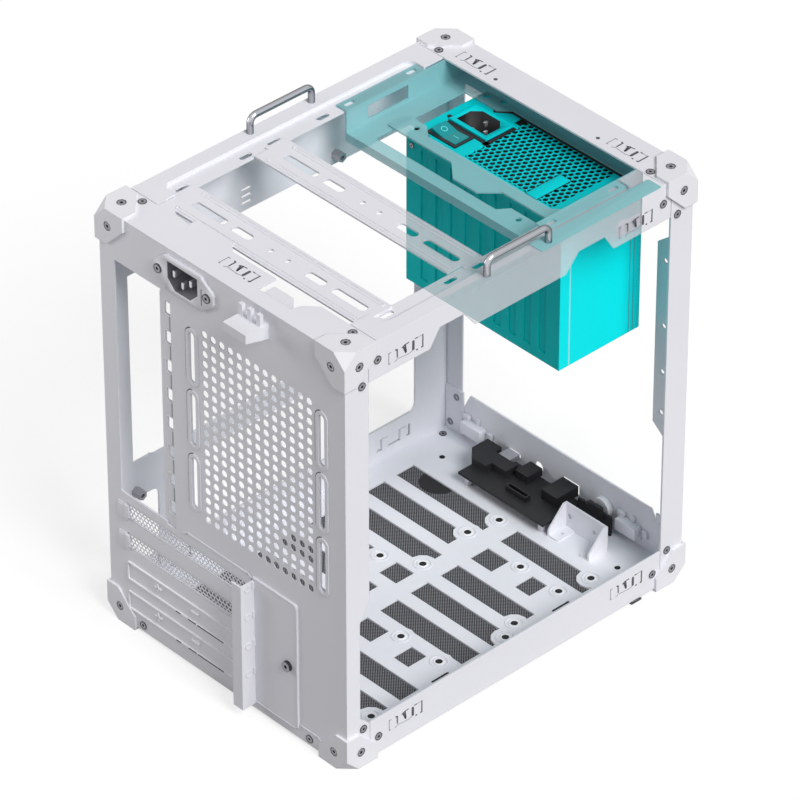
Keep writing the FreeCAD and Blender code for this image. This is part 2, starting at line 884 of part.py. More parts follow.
def tongues(body, side, low):
    """Inner tabs by which a rail is screwed behind the posts at both ends."""
    near, far = ordered(side, tongue_x, inner_x)
    root = post_edge - d.tongue_hold
    for start, end in ((-tongue_end, -root), (root, tongue_end)):
        slab(body, "YZ", near, far, rectangle(start, end, low, low + d.tongue_height))


def top_rail(label, side):
    body = new_body(label)
    low, high = ordered(side, inner_x, wall_x)
    end = post_edge - d.gap
    foot = frame_top - d.rail_side
    relief = frame_top - d.rail_relief
    slab(body, "YZ", low, high, polygon([
        (-end, foot), (-69.4, foot), (-62, relief), (-44, relief), (-35.3, foot),
        (33, foot), (42.9, relief), (62.7, relief), (70, foot), (end, foot),
        (end, frame_top), (-end, frame_top)]))
    left, right = ordered(side, ledge_inner, wall_x)
    rear = -rear_flange_edge + d.gap
    front = front_flange_edge - d.gap
    slab(body, "XY", frame_top - d.sheet, frame_top, rectangle(left, right, rear, front))
    left, right = ordered(side, ledge_inner, ledge_outer + d.sheet)
    reach = d.ledge_half + d.sheet
    slab(body, "XY", ledge_top - d.sheet, frame_top - d.sheet, rectangle(left, right, -reach, reach))
    near = ledge_inner - 1
    half = d.ledge_half
    opening(body, "XY", ledge_top, frame_top, polygon(mirrored(side, [
        (near, -half), (ledge_outer, -half, 6), (ledge_outer, half, 6), (near, half)])))
    slots = []
    middle = (ledge_inner + 4.5) * side
    for along in (-85.3, -38.3, -17.1, 19.8):
        slots.append(slot(middle - d.ledge_slot_wide / 2, middle + d.ledge_slot_wide / 2,
                          along - d.ledge_slot_long / 2, along + d.ledge_slot_long / 2))
    opening(body, "XY", ledge_top - d.sheet, ledge_top, *slots)
    tongues(body, side, frame_top - d.rail_side + 2)
    return body


def front_top_beam():
    body = new_body("front_top_beam")
    half = wall_x - d.sheet - d.gap
    clip = corner_clip
    slab(body, "XY", frame_top - d.sheet, frame_top, polygon([
        (-half, front_flange_edge), (half, front_flange_edge), (half, inner_y - clip),
        (half - clip, inner_y), (-half + clip, inner_y), (-half, inner_y - clip)]))
    face = wall_x - d.post_face - d.gap
    slab(body, "XZ", inner_y, wall_y, rectangle(-face, face, frame_top - d.front_beam_drop, frame_top))
    return body


def front_post(label, side):
    body = new_body(label)
    clip = corner_clip
    narrow = wall_x - d.post_face
    wide = wall_x - d.post_wide
    slab(body, "XZ", inner_y, wall_y, polygon(mirrored(side, [
        (narrow, frame_low), (wall_x - clip, frame_low), (wall_x, frame_low + clip),
        (wall_x, frame_top - clip), (wall_x - clip, frame_top), (narrow, frame_top),
        (narrow, d.post_wide_high + d.post_slant), (wide, d.post_wide_high),
        (wide, d.post_wide_low), (narrow, d.post_wide_low - d.post_slant)])))
    low, high = ordered(side, inner_x, wall_x)
    slab(body, "YZ", low, high, polygon([
        (post_edge, frame_low), (wall_y - clip, frame_low), (wall_y, frame_low + clip),
        (wall_y, frame_top - clip), (wall_y - clip, frame_top), (post_edge, frame_top)]))
    middle = (wall_x - d.post_hole_inset) * side
    holes = [hole(middle, up, d.post_hole / 2) for up in (108, 136.7, 168.6, 213.5)]
    opening(body, "XZ", inner_y, wall_y, *holes)
    return body


def handle(label, side):
    """A bent rod that stands on the rail."""
    body = new_body(label)
    across = (wall_x - d.handle_inset) * side
    half = d.handle_span / 2
    top = frame_top + d.handle_rise - d.handle_rod / 2
    bow = d.handle_bend
    points = [(-half, frame_top), (-half, top - bow), (-half + bow, top),
              (half - bow, top), (half, top - bow), (half, frame_top)]
    points = [(as_size(along), as_size(up)) for along, up in points]
    curves = []
    rules = []
    for start in (0, 2, 4):
        curves.append(line_between(points[start], points[start + 1]))
        fix_point(rules, len(curves) - 1, 1, *points[start])
        fix_point(rules, len(curves) - 1, 2, *points[start + 1])
    for line, along in ((0, -half + bow), (1, half - bow)):
        centre = (as_size(along), top - bow)
        arc = len(curves)
        curves.append(arc_between(points[2 * line + 2], points[2 * line + 1], centre))
        joint_of(rules, arc, 2, line, 2)
        joint_of(rules, arc, 1, line + 1, 1)
        rules.append((Sketcher.Constraint("DistanceX", -1, 1, arc, 3, centre[0].number), centre[0]))
    route = new_sketch(body, "YZ", across, [])
    draw(route, curves, rules)
    section = new_sketch(body, "XY", frame_top, [hole(across, -half, d.handle_rod / 2)])
    pipe = body.newObject("PartDesign::AdditivePipe", f"{label}_bend")
    pipe.Profile = section
    pipe.Spine = route
    pipe.Transition = "Round corner"
    return body


def frame_screws():
    """The flat heads that join rails and posts."""
    heads = []
    rise = d.screw_rise
    for side in (1, -1):
        across = wall_x if side > 0 else -wall_x - rise
        for along in (1, -1):
            post_screw = (wall_y - d.post_screw_inset) * along
            rail_screw = (post_edge - d.rail_screw_inset) * along
            heads += [head("X", across, post_screw, d.post_screw_high),
                      head("X", across, post_screw, d.post_screw_low),
                      head("X", across, rail_screw, d.rail_screw_high),
                      head("X", across, rail_screw, d.rail_screw_low),
                      head("Z", (wall_x - d.top_screw_across) * side,
                           (wall_y - d.top_screw_along) * along, frame_top)]
    for across in (d.rear_screw_right, -d.rear_screw_left):
        heads.append(head("Y", across, -wall_y - rise, d.rear_screw_up))
    return group("frame_screws", heads)


# Floor tray with its filter and feet

def drive_holes():
    """Screw places for drives on the floor, in two sets whose bosses stand apart."""
    spots = []
    for along in (d.drive_front, d.drive_front - d.drive_long):
        for across in (-d.drive_left, -d.drive_left + d.drive_wide):
            spots.append((across, along))
    for along in (d.disk_front, d.disk_front - d.disk_long):
        for across in (d.disk_left, d.disk_left + d.disk_wide):
            spots.append((across, along))
    spots.append((-d.third_hole_left, d.third_hole_front))
    corners = [(across, along) for along in (d.far_hole_front, -d.far_hole_rear)
               for across in (-d.far_hole_left, d.far_hole_right)]
    return spots, corners


def floor_tray():
    body = new_body("floor_tray")
    clip = 4.0
    slab(body, "XY", d.floor_low, floor_top, polygon([
        (-inner_x + clip, -inner_y), (inner_x - clip, -inner_y), (inner_x, -inner_y + clip),
        (inner_x, inner_y - clip), (inner_x - clip, inner_y), (-inner_x + clip, inner_y),
        (-inner_x, inner_y - clip), (-inner_x, -inner_y + clip)]))
    end = post_edge - d.gap
    for side in (1, -1):
        low, high = ordered(side, inner_x, wall_x)
        slab(body, "YZ", low, high, rectangle(-end, end, frame_low, frame_low + d.tray_wall))
        tongues(body, side, floor_top + 3)
    half = wall_x - d.post_face - d.gap
    slab(body, "XZ", inner_y, wall_y, polygon([
        (-half, frame_low), (half, frame_low), (half, d.tray_front_low),
        (half - 7, d.tray_front), (-half + 7, d.tray_front), (-half, d.tray_front_low)]))
    # Rows of breathing slots
    edge, inner, outer = d.floor_slot_edge, d.floor_slot_inner, d.floor_slot_outer
    rows = [
        [(-edge, -inner), (inner, outer)],
        [(-edge, -inner), (inner, outer)],
        [(-edge, -inner), (inner, 26.7), (45.4, 58.3)],
        [(-edge, -inner), (inner, outer)],
        [(-edge, -36), (-18.2, -3.1), (inner, outer)],
        [(-edge, -4.8), (inner, 72.5)],
        [(-edge, -9.8), (inner, 26.6), (45.5, 58.2)],
        [(-edge, -5.5), (inner, outer)],
    ]
    for number, row in enumerate(rows):
        middle = -d.floor_first + d.floor_pitch * number
        opening(body, "XY", d.floor_low, floor_top, *[
            rectangle(left, right, middle - d.floor_slot / 2, middle + d.floor_slot / 2)
            for left, right in row])
    # Bosses that keep metal round each screw place
    spots, corners = drive_holes()
    for places in (spots, corners):
        slab(body, "XY", d.floor_low, floor_top,
             *[hole(across, along, d.boss_radius) for across, along in places])
    opening(body, "XY", d.floor_low, floor_top,
            *[disc(across, along, d.boss_hole / 2) for across, along in spots],
            *[hole(across, along, d.boss_hole / 2) for across, along in corners])
    # Openings for the front sockets and the button
    opening(body, "XZ", inner_y, wall_y,
            rectangle(3, 17, 12.6, 20.4), slot(-43, -32.4, 12.8, 16.6),
            disc(-17, 16, 3.4), disc(d.button_across, d.button_up, d.button_wide / 2 + d.gap))
    return body


def floor_filter():
    """A woven dust filter in a thin frame under the floor, with a tab to pull it out."""
    body = new_body("floor_filter")
    low = d.floor_low - d.filter_thick
    wide, long = d.filter_half_wide, d.filter_half_long
    slab(body, "XY", low, d.floor_low, rectangle(-wide, wide, -long, long, d.bend))
    start = d.pull_tab_along - d.pull_tab_wide / 2
    end = d.pull_tab_along + d.pull_tab_wide / 2
    tab_top = d.pull_tab_low + d.filter_thick
    slab(body, "XY", tab_top, low, rectangle(wide - d.bend, wide - d.gap, start, end))
    slab(body, "XY", d.pull_tab_low, tab_top, rectangle(
        wide - d.bend, wall_x + d.pull_tab_reach, start, end))
    return body


def feet():
    pads = []
    height = d.floor_low - d.filter_thick
    for x_side in (-1, 1):
        for y_side in (-1, 1):
            pads.append(prism("foot", RING_SIDES, "Z", d.foot_across * x_side,
                              d.foot_along * y_side, 0, d.foot_wide / 2, height))
    return group("feet", pads)


# Board side wall

def board_wall():
    """The wall that carries the main board, with its two windows."""
    body = new_body("board_wall")
    near, far = -tongue_x, -tongue_x + d.sheet
    top = frame_top - d.sheet - d.gap
    low = floor_top
    rear, front = -inner_y + d.gap, inner_y - d.gap
    bar_low = d.wall_window_low - d.wall_bar
    clip = corner_clip / 2
    slab(body, "YZ", near, far, polygon([
        (-d.wall_open_rear, low), (front, low), (front, top - clip), (front - clip, top),
        (rear + clip, top), (rear, top - clip),
        (rear, bar_low - 9, 3), (-d.wall_open_rear, bar_low - 9, 5)]))
    opening(body, "YZ", near, far,
            rectangle(-d.wall_rear, d.wall_front, d.wall_window_low, d.wall_window_high, 6),
            rectangle(-d.wall_open_rear + 12, d.wall_front, d.wall_base, bar_low, 6),
            slot(-30, -22.5, 237.5, 239.5), slot(-30, -22.5, 242, 244), slot(-30, -22.5, 246.5, 248.5))
    # The ear that carries the low front standoff
    along = -d.board_screw_rear + d.board_screw_along
    ear = d.standoff_ear
    slab(body, "YZ", near, far, rectangle(along - ear, along + ear, d.board_screw_low - ear, bar_low, 2))
    # Room for the clips of the side cover
    wide, high = d.clip_wide / 2 + d.clip_room, d.clip_high / 2 + d.clip_room
    opening(body, "YZ", near, far, *[
        rectangle(middle - wide, middle + wide, up - high, up + high)
        for middle in (-d.clip_along, d.clip_along) for up in (d.side_clip_high, d.side_clip_low)])
    return body


def board_standoffs():
    """Hexagonal standoffs, each with a bore for the board's screw."""
    pieces = []
    foot = -tongue_x + d.sheet
    for along in (-d.board_screw_rear, -d.board_screw_rear + d.board_screw_along):
        for up in (d.board_screw_low, d.board_screw_low + d.board_screw_up):
            post = prism("standoff_post", 6, "X", foot, along, up, d.standoff_wide / 2, d.standoff_long)
            bore = rod("standoff_bore", "X", foot + d.sheet, along, up, d.standoff_bore / 2, d.standoff_long)
            pieces.append(carved("standoff", post, [bore]))
    return group("board_standoffs", pieces)


# Fan rails

def fan_rail(number):
    """A slotted strip that lies on the ledges of both rails."""
    body = new_body(f"fan_rail_{number}")
    inner, reach = ledge_inner - d.gap, ledge_inner + d.fan_rail_reach
    middle = -d.fan_rail_rear + d.fan_rail_pitch * (number - 1)
    wide = d.fan_rail_wide / 2
    ear = d.ledge_half - d.fan_rail_rear - d.gap
    slab(body, "XY", ledge_top, ledge_top + d.sheet, polygon([
        (-inner, middle - wide), (inner, middle - wide), (inner, middle - ear), (reach, middle - ear),
        (reach, middle + wide), (-reach, middle + wide), (-reach, middle - ear), (-inner, middle - ear)]))
    half = d.fan_slot_wide / 2
    cuts = []
    for start, end in ((22, 37.5), (43, 70)):
        cuts.append(slot(d.fan_centre + start, d.fan_centre + end, middle - half, middle + half))
        cuts.append(slot(d.fan_centre - end, d.fan_centre - start, middle - half, middle + half))
    for across in (-6.8, 6.8):
        cuts.append(hole(d.fan_centre + across, middle, 1.9))
    opening(body, "XY", ledge_top, ledge_top + d.sheet, *cuts)
    return body


# Power supply bracket, adapter and unit

psu_top = d.bracket_top - d.sheet
psu_middle = -d.psu_left + d.psu_wide / 2
psu_front = d.psu_rear + d.psu_deep


def psu_bracket():
    """A folded tray that hangs the power supply from both rails."""
    body = new_body("psu_bracket")
    ring_low = d.bracket_top - d.sheet
    left, rear, front = d.bracket_left, d.bracket_rear, d.bracket_front
    right = left + d.sheet
    slab(body, "XY", ring_low, d.bracket_top, rectangle(-right, right, rear, front))
    opening(body, "XY", ring_low, d.bracket_top, polygon([
        (-d.ring_left, rear + d.bracket_bar), (36, rear + d.bracket_bar),
        (41, rear + d.bracket_bar + 7), (d.ring_right, rear + d.bracket_bar + 7),
        (d.ring_right, 117), (-29, 117), (-36, 110.5), (-d.ring_left, 110.5)]))
    for side in (1, -1):
        low, high = ordered(side, left, right)
        slab(body, "YZ", low, high, rectangle(rear, front, ring_low, ledge_top + d.sheet))
        low, high = ordered(side, left, left + d.bracket_ear)
        slab(body, "XY", ledge_top, ledge_top + d.sheet, polygon(mirrored(side, [
            (left, rear), (left + d.bracket_ear, rear), (left + d.bracket_ear, 94 - d.gap),
            (left, 94 - d.gap)])))
        low, high = ordered(side, left, right)
        opening(body, "YZ", low, high, rectangle(49, 80, d.bracket_top + 2, ledge_top - 2.5))
        middle = (left + 5.1) * side
        opening(body, "XY", ledge_top, ledge_top + d.sheet,
                slot(middle - 1.8, middle + 1.8, 35.5, 42.5), slot(middle - 1.8, middle + 1.8, 83.2, 90.2))
    slab(body, "XZ", rear, rear + d.sheet, rectangle(-right, right, d.bracket_top - d.bracket_lip, ring_low))
    slab(body, "YZ", left, right, rectangle(rear, front, d.bracket_top - d.bracket_lip, ring_low))
    opening(body, "XY", ring_low, d.bracket_top,
            hole(51.7, 43.3, 2), hole(-50.2, 116.7, 2), hole(-39.1, 119.5, 2))
    return body


def psu_adapter():
    """The plate that matches the bracket to the power supply."""
    body = new_body("psu_adapter")
    low, high = d.bracket_top, d.bracket_top + d.sheet
    rear, front = d.adapter_rear, d.adapter_front
    inner = rear + d.adapter_bar
    slab(body, "XY", low, high, polygon([
        (-66, rear, 2), (-13.7, rear), (-1.4, rear - 10.5), (17.5, rear - 10.5), (27.2, rear),
        (72, rear, 2), (72, front, 4), (d.ring_right, front), (d.ring_right, inner + 8),
        (58, inner), (-41, inner), (-50, inner + 7, 3), (-66, inner + 7, 3)]))
    opening(body, "XY", low, high,
            hole(-52, rear + 9, 2.2), hole(68.5, rear + 10, 2.2), hole(68.9, 101.3, 2.2))
    return body


def psu_housing():
    body = new_body("psu_housing")
    low = psu_top - d.psu_tall
    left, right = -d.psu_left, -d.psu_left + d.psu_wide
    slab(body, "XY", low, psu_top, rectangle(left, right, d.psu_rear, psu_front))
    middle = low + d.psu_tall / 2
    opening(body, "XZ", psu_front - d.fan_deep - 2, psu_front,
            disc(psu_middle, middle, d.fan_wide / 2))
    wide, high = d.socket_wide / 2 + 1.5, d.socket_high / 2 + 1.5
    across, along = -d.socket_across, d.socket_along
    opening(body, "XY", psu_top - d.socket_deep - 1.5, psu_top,
            rectangle(across - wide, across + wide, along - high, along + high))
    wide, high = d.switch_wide / 2 + 0.5, d.switch_high / 2 + 0.3
    across, along = -d.switch_across, d.switch_along
    opening(body, "XY", psu_top - 7, psu_top,
            rectangle(across - wide, across + wide, along - high, along + high))
    # Shallow ribs pressed into the rear side
    for number in range(9):
        start = left + 12 + 12 * number
        opening(body, "XZ", d.psu_rear, d.psu_rear + 0.8,
                rectangle(start, start + 6, low + 6, psu_top - 6))
    return body


def psu_inlet():
    """The mains socket in the power supply's top."""
    body = new_body("psu_inlet")
    across, along = -d.socket_across, d.socket_along
    wide, high = d.socket_wide / 2, d.socket_high / 2
    floor = psu_top - d.socket_deep - 1.5
    slab(body, "XY", floor, psu_top, rectangle(
        across - wide - 1.5, across + wide + 1.5, along - high - 1.5, along + high + 1.5))
    out_wide, out_high = d.bezel_wide / 2, d.bezel_high / 2
    slab(body, "XY", psu_top, psu_top + d.bezel_rise, rectangle(
        across - out_wide, across + out_wide, along - out_high, along + out_high))
    opening(body, "XY", floor + 1.5, psu_top + d.bezel_rise, polygon([
        (across - wide, along - high), (across + wide, along - high),
        (across + wide, along + high - 5), (across + wide - 5, along + high),
        (across - wide + 5, along + high), (across - wide, along + high - 5)]))
    return body


def psu_inlet_pins():
    pins = []
    floor = psu_top - d.socket_deep
    for across, along in ((-7, 1.5), (0, -2.5), (7, 1.5)):
        x, y = -d.socket_across + across, d.socket_along + along
        pins.append(block("psu_pin", (x - 1, x + 1), (y - 2, y + 2), (floor, floor + 11)))
    return group("psu_inlet_pins", pins)


def psu_switch_frame():
    body = new_body("psu_switch_frame")
    wide, high = d.switch_wide / 2 + 0.5, d.switch_high / 2 + 0.3
    across, along = -d.switch_across, d.switch_along
    rim = d.switch_frame
    slab(body, "XY", psu_top, psu_top + 1, rectangle(
        across - wide - rim, across + wide + rim, along - high - rim, along + high + rim))
    opening(body, "XY", psu_top, psu_top + 1, rectangle(
        across - wide, across + wide, along - high, along + high))
    return body


def psu_rocker():
    """The rocker, drawn level about its pivot and then tilted to off."""
    body = new_body("psu_rocker")
    half, tall = d.switch_wide / 2, d.switch_high / 2
    slab(body, "XZ", -tall, tall, polygon([
        (-half + 2, -4), (half - 2, -4), (half, -1), (half, 2.4), (0, 1.0), (-half, 2.4), (-half, -1)]))
    body.Placement = Placement(Vector(), Rotation(Vector(0, 1, 0), SIZES["rocker_tilt"]))
    bind(body, "Placement.Rotation.Angle", d.rocker_tilt)
    place(body, -d.switch_across, d.switch_along, psu_top)
    return body


def psu_fan_rotor():
    """A fan with a hub and flat pitched blades."""
    middle = psu_top - d.psu_tall / 2
    base = psu_front - d.fan_deep - 2 + d.gap
    depth = d.fan_deep - 1
    pieces = [rod("fan_hub", "Y", psu_middle, base, middle, d.fan_hub / 2, depth)]
    reach = d.fan_wide / 2 - d.fan_play
    for number in range(SIZES["fan_blades"]):
        blade = doc.addObject("Part::Box", "fan_blade")
        bind(blade, "Length", reach - d.fan_hub / 2 + 2)
        bind(blade, "Width", d.blade_width)
        bind(blade, "Height", d.blade_thick)
        turn = Rotation(Vector(0, 1, 0), 360 * number / SIZES["fan_blades"])
        pitch = Rotation(Vector(1, 0, 0), SIZES["blade_pitch"])
        blade.Placement = Placement(Vector(), turn.multiply(pitch))
        start = turn.multVec(Vector(1, 0, 0))
        middle_of = Vector(0, -SIZES["blade_width"] / 2, -SIZES["blade_thick"] / 2)
        corner = turn.multiply(pitch).multVec(middle_of)
        root = d.fan_hub / 2 - 2
        place(blade, psu_middle + root * start.x + corner.x, base + depth / 2 + corner.y,
              middle + root * start.z + corner.z)
        pieces.append(blade)
    return keep(fused("psu_fan_rotor", pieces), "psu_fan_rotor")


def psu_fan_grille():
    """A finger guard of rings joined by two bars."""
    body = new_body("psu_fan_grille")
    middle = psu_top - d.psu_tall / 2
    high = psu_front + d.grille_thick
    reach = d.fan_wide / 2 + 2
    bar = d.grille_bar
    for number in range(SIZES["grille_rings"]):
        radius = reach * (3 - number) / 3
        slab(body, "XZ", psu_front, high, regular(psu_middle, middle, radius, RING_SIDES),
             regular(psu_middle, middle, radius - bar, RING_SIDES))
        if number == 0:
            slab(body, "XZ", psu_front, high, polygon([
                (psu_middle - reach + 1, middle - bar / 2), (psu_middle + reach - 1, middle - bar / 2),
                (psu_middle + reach - 1, middle + bar / 2), (psu_middle - reach + 1, middle + bar / 2)]))
            slab(body, "XZ", psu_front, high, polygon([
                (psu_middle - bar / 2, middle - reach + 1), (psu_middle + bar / 2, middle - reach + 1),
                (psu_middle + bar / 2, middle + reach - 1), (psu_middle - bar / 2, middle + reach - 1)]))
    return body


# Front panel board with its sockets and button

board_top = d.board_low + d.board_thick


def io_board():
    body = new_body("io_board")
    left, right = -d.board_left, d.board_right - d.gap
    slab(body, "XY", d.board_low, board_top, polygon([
        (left, d.board_rear), (right, d.board_rear), (right, d.board_front),
        (left - 7, d.board_front), (left - 7, 113), (left, 106)]))
    slab(body, "XY", board_top, board_top + 5, polygon([
        (left - 7, 113), (left, 106), (left + 12, 106), (left + 12, 111), (left + 24, 111),
        (left + 24, 120.5), (left + 5, 120.5), (left + 5, d.board_front - 1), (left - 7, d.board_front - 1)]))
    return body


def board_posts():
    posts = []
    for across, along in ((-44, 99), (18, 99), (18, 123), (-44, 123)):
        posts.append(prism("board_post", 6, "Z", across, along, floor_top, 2.5, d.board_low - floor_top))
    return group("board_posts", posts)


def io_sockets():
    """Sockets that reach the front through the tray's front wall."""
    end = inner_y - d.gap
    usb = block("usb_shell", (3.5, 16.5), (112.5, end), (board_top, 20))
    mouth = block("usb_mouth", (4.3, 15.7), (120, end), (board_top + 0.8, 19.2))
    tongue = block("usb_tongue", (5.5, 14.5), (118, end - 1), (15.6, 17.2))
    shell = carved("usb_open", usb, [mouth])
    keep(fused("usb_socket", [shell, tongue]), "usb_socket")
    small = block("usb_small_shell", (-42.5, -33), (121.6, end), (board_top + 0.1, 16.4))
    inside = block("usb_small_mouth", (-41.7, -33.8), (124, end), (board_top + 0.9, 15.6))
    keep(carved("usb_small_socket", small, [inside]), "usb_small_socket")
    jack = block("jack_body", (-22, -12), (116, 128.5), (board_top, 18.4))
    bore = rod("jack_bore", "Y", -17, 116 + 2, 15.6, 1.8, 14)
    keep(carved("audio_jack", jack, [bore]), "audio_jack")
    header = block("header_wall", (-17, 0), (103, 107), (board_top, board_top + 3.4))
    well = block("header_well", (-16.2, -0.8), (103.8, 106.2), (board_top + 0.8, board_top + 3.4))
    keep(carved("board_header", header, [well]), "board_header")


def button_board():
    plate = block("button_plate", (d.board_right, 50), (123.4, 125), (5.2, 18.6))
    ledge = block("button_switch", (33, 44), (121, 123.4), (14, 23))
    return keep(fused("button_board", [plate, ledge]), "button_board")


def power_button():
    """The round button, proud of the front wall, with a rim that keeps it in."""
    start = 125 + d.gap + d.button_travel
    cap = rod("button_cap", "Y", d.button_across, start, d.button_up,
              d.button_wide / 2, wall_y + d.button_rise - start)
    rim = rod("button_rim", "Y", d.button_across, start, d.button_up,
              d.button_wide / 2 + 1.2, inner_y - d.gap - start)
    return keep(fused("power_button", [cap, rim]), "power_button")


def board_bracket():
    """The small folded bracket behind the button board."""
    body = new_body("board_bracket")
    left, right = d.mount_left, d.mount_right
    face = d.mount_face
    thick = d.sheet
    low, top = floor_top, d.mount_top
    slab(body, "XZ", face, face + thick, rectangle(left, right, low, top, 1.5))
    for start in (left, right - thick):
        slab(body, "YZ", start, start + thick, polygon([
            (d.mount_rear, low), (face + thick, low), (face + thick, top),
            (face - 2, top), (d.mount_rear, low + 5)]))
    slab(body, "XY", low, low + thick, polygon([
        (left, d.mount_rear), (left + 9, d.mount_rear, 2), (left + 9, face, 2), (left, face)]))
    slab(body, "XY", low, low + thick, polygon([
        (right - 8.2, d.mount_rear, 2), (right, d.mount_rear), (right, face), (right - 8.2, face, 2)]))
    opening(body, "XZ", face, face + thick, hole(left + 4, 13.9, 1.5), hole(right - 10, 13.4, 1.5))
    opening(body, "XY", low, low + thick, hole(left + 5, 103.7, 1.5))
    return body


def front_gussets():
    """Thin plates that tie the tray's front corners to the posts."""
    plates = []
    for side in (1, -1):
        low, high = ordered(side, d.gusset_inner, tongue_x - d.sheet - d.gap)
        plates.append(block("gusset", (low, high), (inner_y - d.sheet, inner_y),
                            (floor_top, d.tray_front)))
    return group("corner_gussets", plates)


# Push clips for the cover panels

def panel_clip(axis, side, face, across, up, wide):
    """A moulded clip behind a sheet: a base and two prongs, seen from inside."""
    high = d.clip_high / 2
    half = wide / 2
    inset = half - d.clip_prong_inset
    pieces = []
    for start, end, thick in ((-half, half, d.clip_base), (-inset, -inset + d.clip_prong, d.clip_thick),
                              (inset - d.clip_prong, inset, d.clip_thick)):
        depth = (face - thick, face) if side > 0 else (face, face + thick)
        along = (across + start, across + end)
        rise = (up - high, up + high)
        spans = {"X": (depth, along, rise), "Y": (along, depth, rise), "Z": (along, rise, depth)}
        pieces.append(block("clip", *spans[axis]))
    return fused("clip_joined", pieces)


def panel_clips():
    clips = []
    for side in (1, -1):
        for along in (-d.clip_along, d.clip_along):
            for up in (d.side_clip_high, d.side_clip_low):
                clips.append(panel_clip("X", side, inner_x * side, along, up, d.clip_wide))
        clips.append(panel_clip("Z", 1, frame_top - d.sheet, d.top_clip_across * side,
                                d.top_clip_along, d.clip_wide))
    clips.append(panel_clip("Z", 1, frame_top - d.sheet, as_size(0), -d.rear_clip_along, d.clip_wide))
    for across in (-d.front_clip_left, d.front_clip_right):
        clips.append(panel_clip("Y", 1, inner_y, across, d.front_clip_up, d.clip_narrow))
    return group("panel_clips", clips)


# Build every piece

for z_side, z_name in ((1, "top"), (-1, "bottom")):
    for y_side, y_name in ((1, "front"), (-1, "rear")):
        for x_side, x_name in ((1, "right"), (-1, "left")):
            corner_cap(f"corner_cap_{z_name}_{y_name}_{x_name}", x_side, y_side, z_side)
cap_screws()
rear_panel()
for number in range(1, SIZES["card_slots"] + 1):
    slot_cover(number, number > 2)
slot_clamp()
clamp_screw()
rear_inlet()
inlet_pins()
inlet_screws()
rear_clip()
top_rail("top_rail_right", 1)
top_rail("top_rail_left", -1)
front_top_beam()
front_post("front_post_right", 1)
front_post("front_post_left", -1)
handle("handle_right", 1)
handle("handle_left", -1)
frame_screws()
floor_tray()
floor_filter()
feet()
board_wall()
board_standoffs()
fan_rail(1)
fan_rail(2)
psu_bracket()
psu_adapter()
psu_housing()
psu_inlet()
psu_inlet_pins()
psu_switch_frame()
psu_rocker()
psu_fan_rotor()
psu_fan_grille()
io_board()
board_posts()
io_sockets()
button_board()
power_button()
board_bracket()
front_gussets()
panel_clips()
doc.recompute()

# Check the model before writing it
for thing in doc.Objects:
    if "Invalid" in thing.State or "Error" in thing.State:
        raise RuntimeError(f"{thing.Label} failed: {thing.State}")
    if thing.isDerivedFrom("PartDesign::Pocket"):
        if thing.Shape.Volume >= thing.BaseFeature.Shape.Volume - 1e-6:
            raise RuntimeError(f"{thing.Label} of {thing.getParent().Label} cuts nothing")
for node in nodes:
    if node.Shape.isNull() or not node.Shape.isValid():
        raise RuntimeError(f"{node.Label} has no valid shape")

os.makedirs("parts", exist_ok=True)
for node in nodes:
    node.Shape.exportStep(f"parts/{node.Label}.step")
print(f"{len(nodes)} pieces, {sum(len(node.Shape.Solids) for node in nodes)} solids")
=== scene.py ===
import json
import math

import bpy
from mathutils import Euler, Matrix, Vector


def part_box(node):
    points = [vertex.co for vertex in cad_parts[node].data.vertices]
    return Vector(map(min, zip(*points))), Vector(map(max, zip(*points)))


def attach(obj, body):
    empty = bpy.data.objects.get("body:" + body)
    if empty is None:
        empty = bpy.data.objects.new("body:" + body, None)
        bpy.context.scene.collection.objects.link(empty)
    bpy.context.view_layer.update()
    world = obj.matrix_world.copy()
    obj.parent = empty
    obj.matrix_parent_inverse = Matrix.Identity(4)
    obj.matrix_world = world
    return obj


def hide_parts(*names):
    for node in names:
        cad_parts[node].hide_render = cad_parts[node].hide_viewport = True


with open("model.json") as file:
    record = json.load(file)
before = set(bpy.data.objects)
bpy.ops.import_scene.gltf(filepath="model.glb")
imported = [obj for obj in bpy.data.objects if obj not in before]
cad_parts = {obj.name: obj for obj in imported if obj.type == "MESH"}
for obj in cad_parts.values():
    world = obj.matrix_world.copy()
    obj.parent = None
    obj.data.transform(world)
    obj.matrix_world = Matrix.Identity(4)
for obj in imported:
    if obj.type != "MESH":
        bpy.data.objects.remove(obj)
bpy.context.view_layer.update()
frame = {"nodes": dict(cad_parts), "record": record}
nodes = frame["nodes"]

# Lengths are in metres, and MM turns a size in millimetres into them.
MM = 0.001


# Faces that pieces stand on, in millimetres

SIDE_FACE = 99.75
REAR_FACE = -131.75
TOP_FACE = 284.2
FLOOR_FACE = 4.8
STRIP_FACE = -130.35
CLAMP_FACE = -132.95
LID = 266.8
CAP_SIDE, CAP_END, CAP_TOP = 101.55, 133.55, 286.0
SUPPLY_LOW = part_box("psu_housing")[0]
SUPPLY_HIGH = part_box("psu_housing")[1]
FILTER_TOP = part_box("floor_filter")[1].z / MM


# Camera at the photograph's viewing angle

EYE = Vector((2.04103, -1.91100, 2.17373))
VIEW_AZIMUTH = 46.854
VIEW_ELEVATION = 36.048
LENS = 275.107
FILM = 36.0

camera_data = bpy.data.cameras.new("camera")
camera = bpy.data.objects.new("camera", camera_data)
bpy.context.scene.collection.objects.link(camera)
camera.location = EYE
camera.rotation_euler = (math.radians(90 - VIEW_ELEVATION), 0, math.radians(VIEW_AZIMUTH))
camera_data.lens = LENS
camera_data.sensor_width = FILM
camera_data.sensor_fit = "HORIZONTAL"
camera_data.clip_end = 50
bpy.context.scene.camera = camera
bpy.context.scene.view_settings.view_transform = "Standard"


# Node helpers

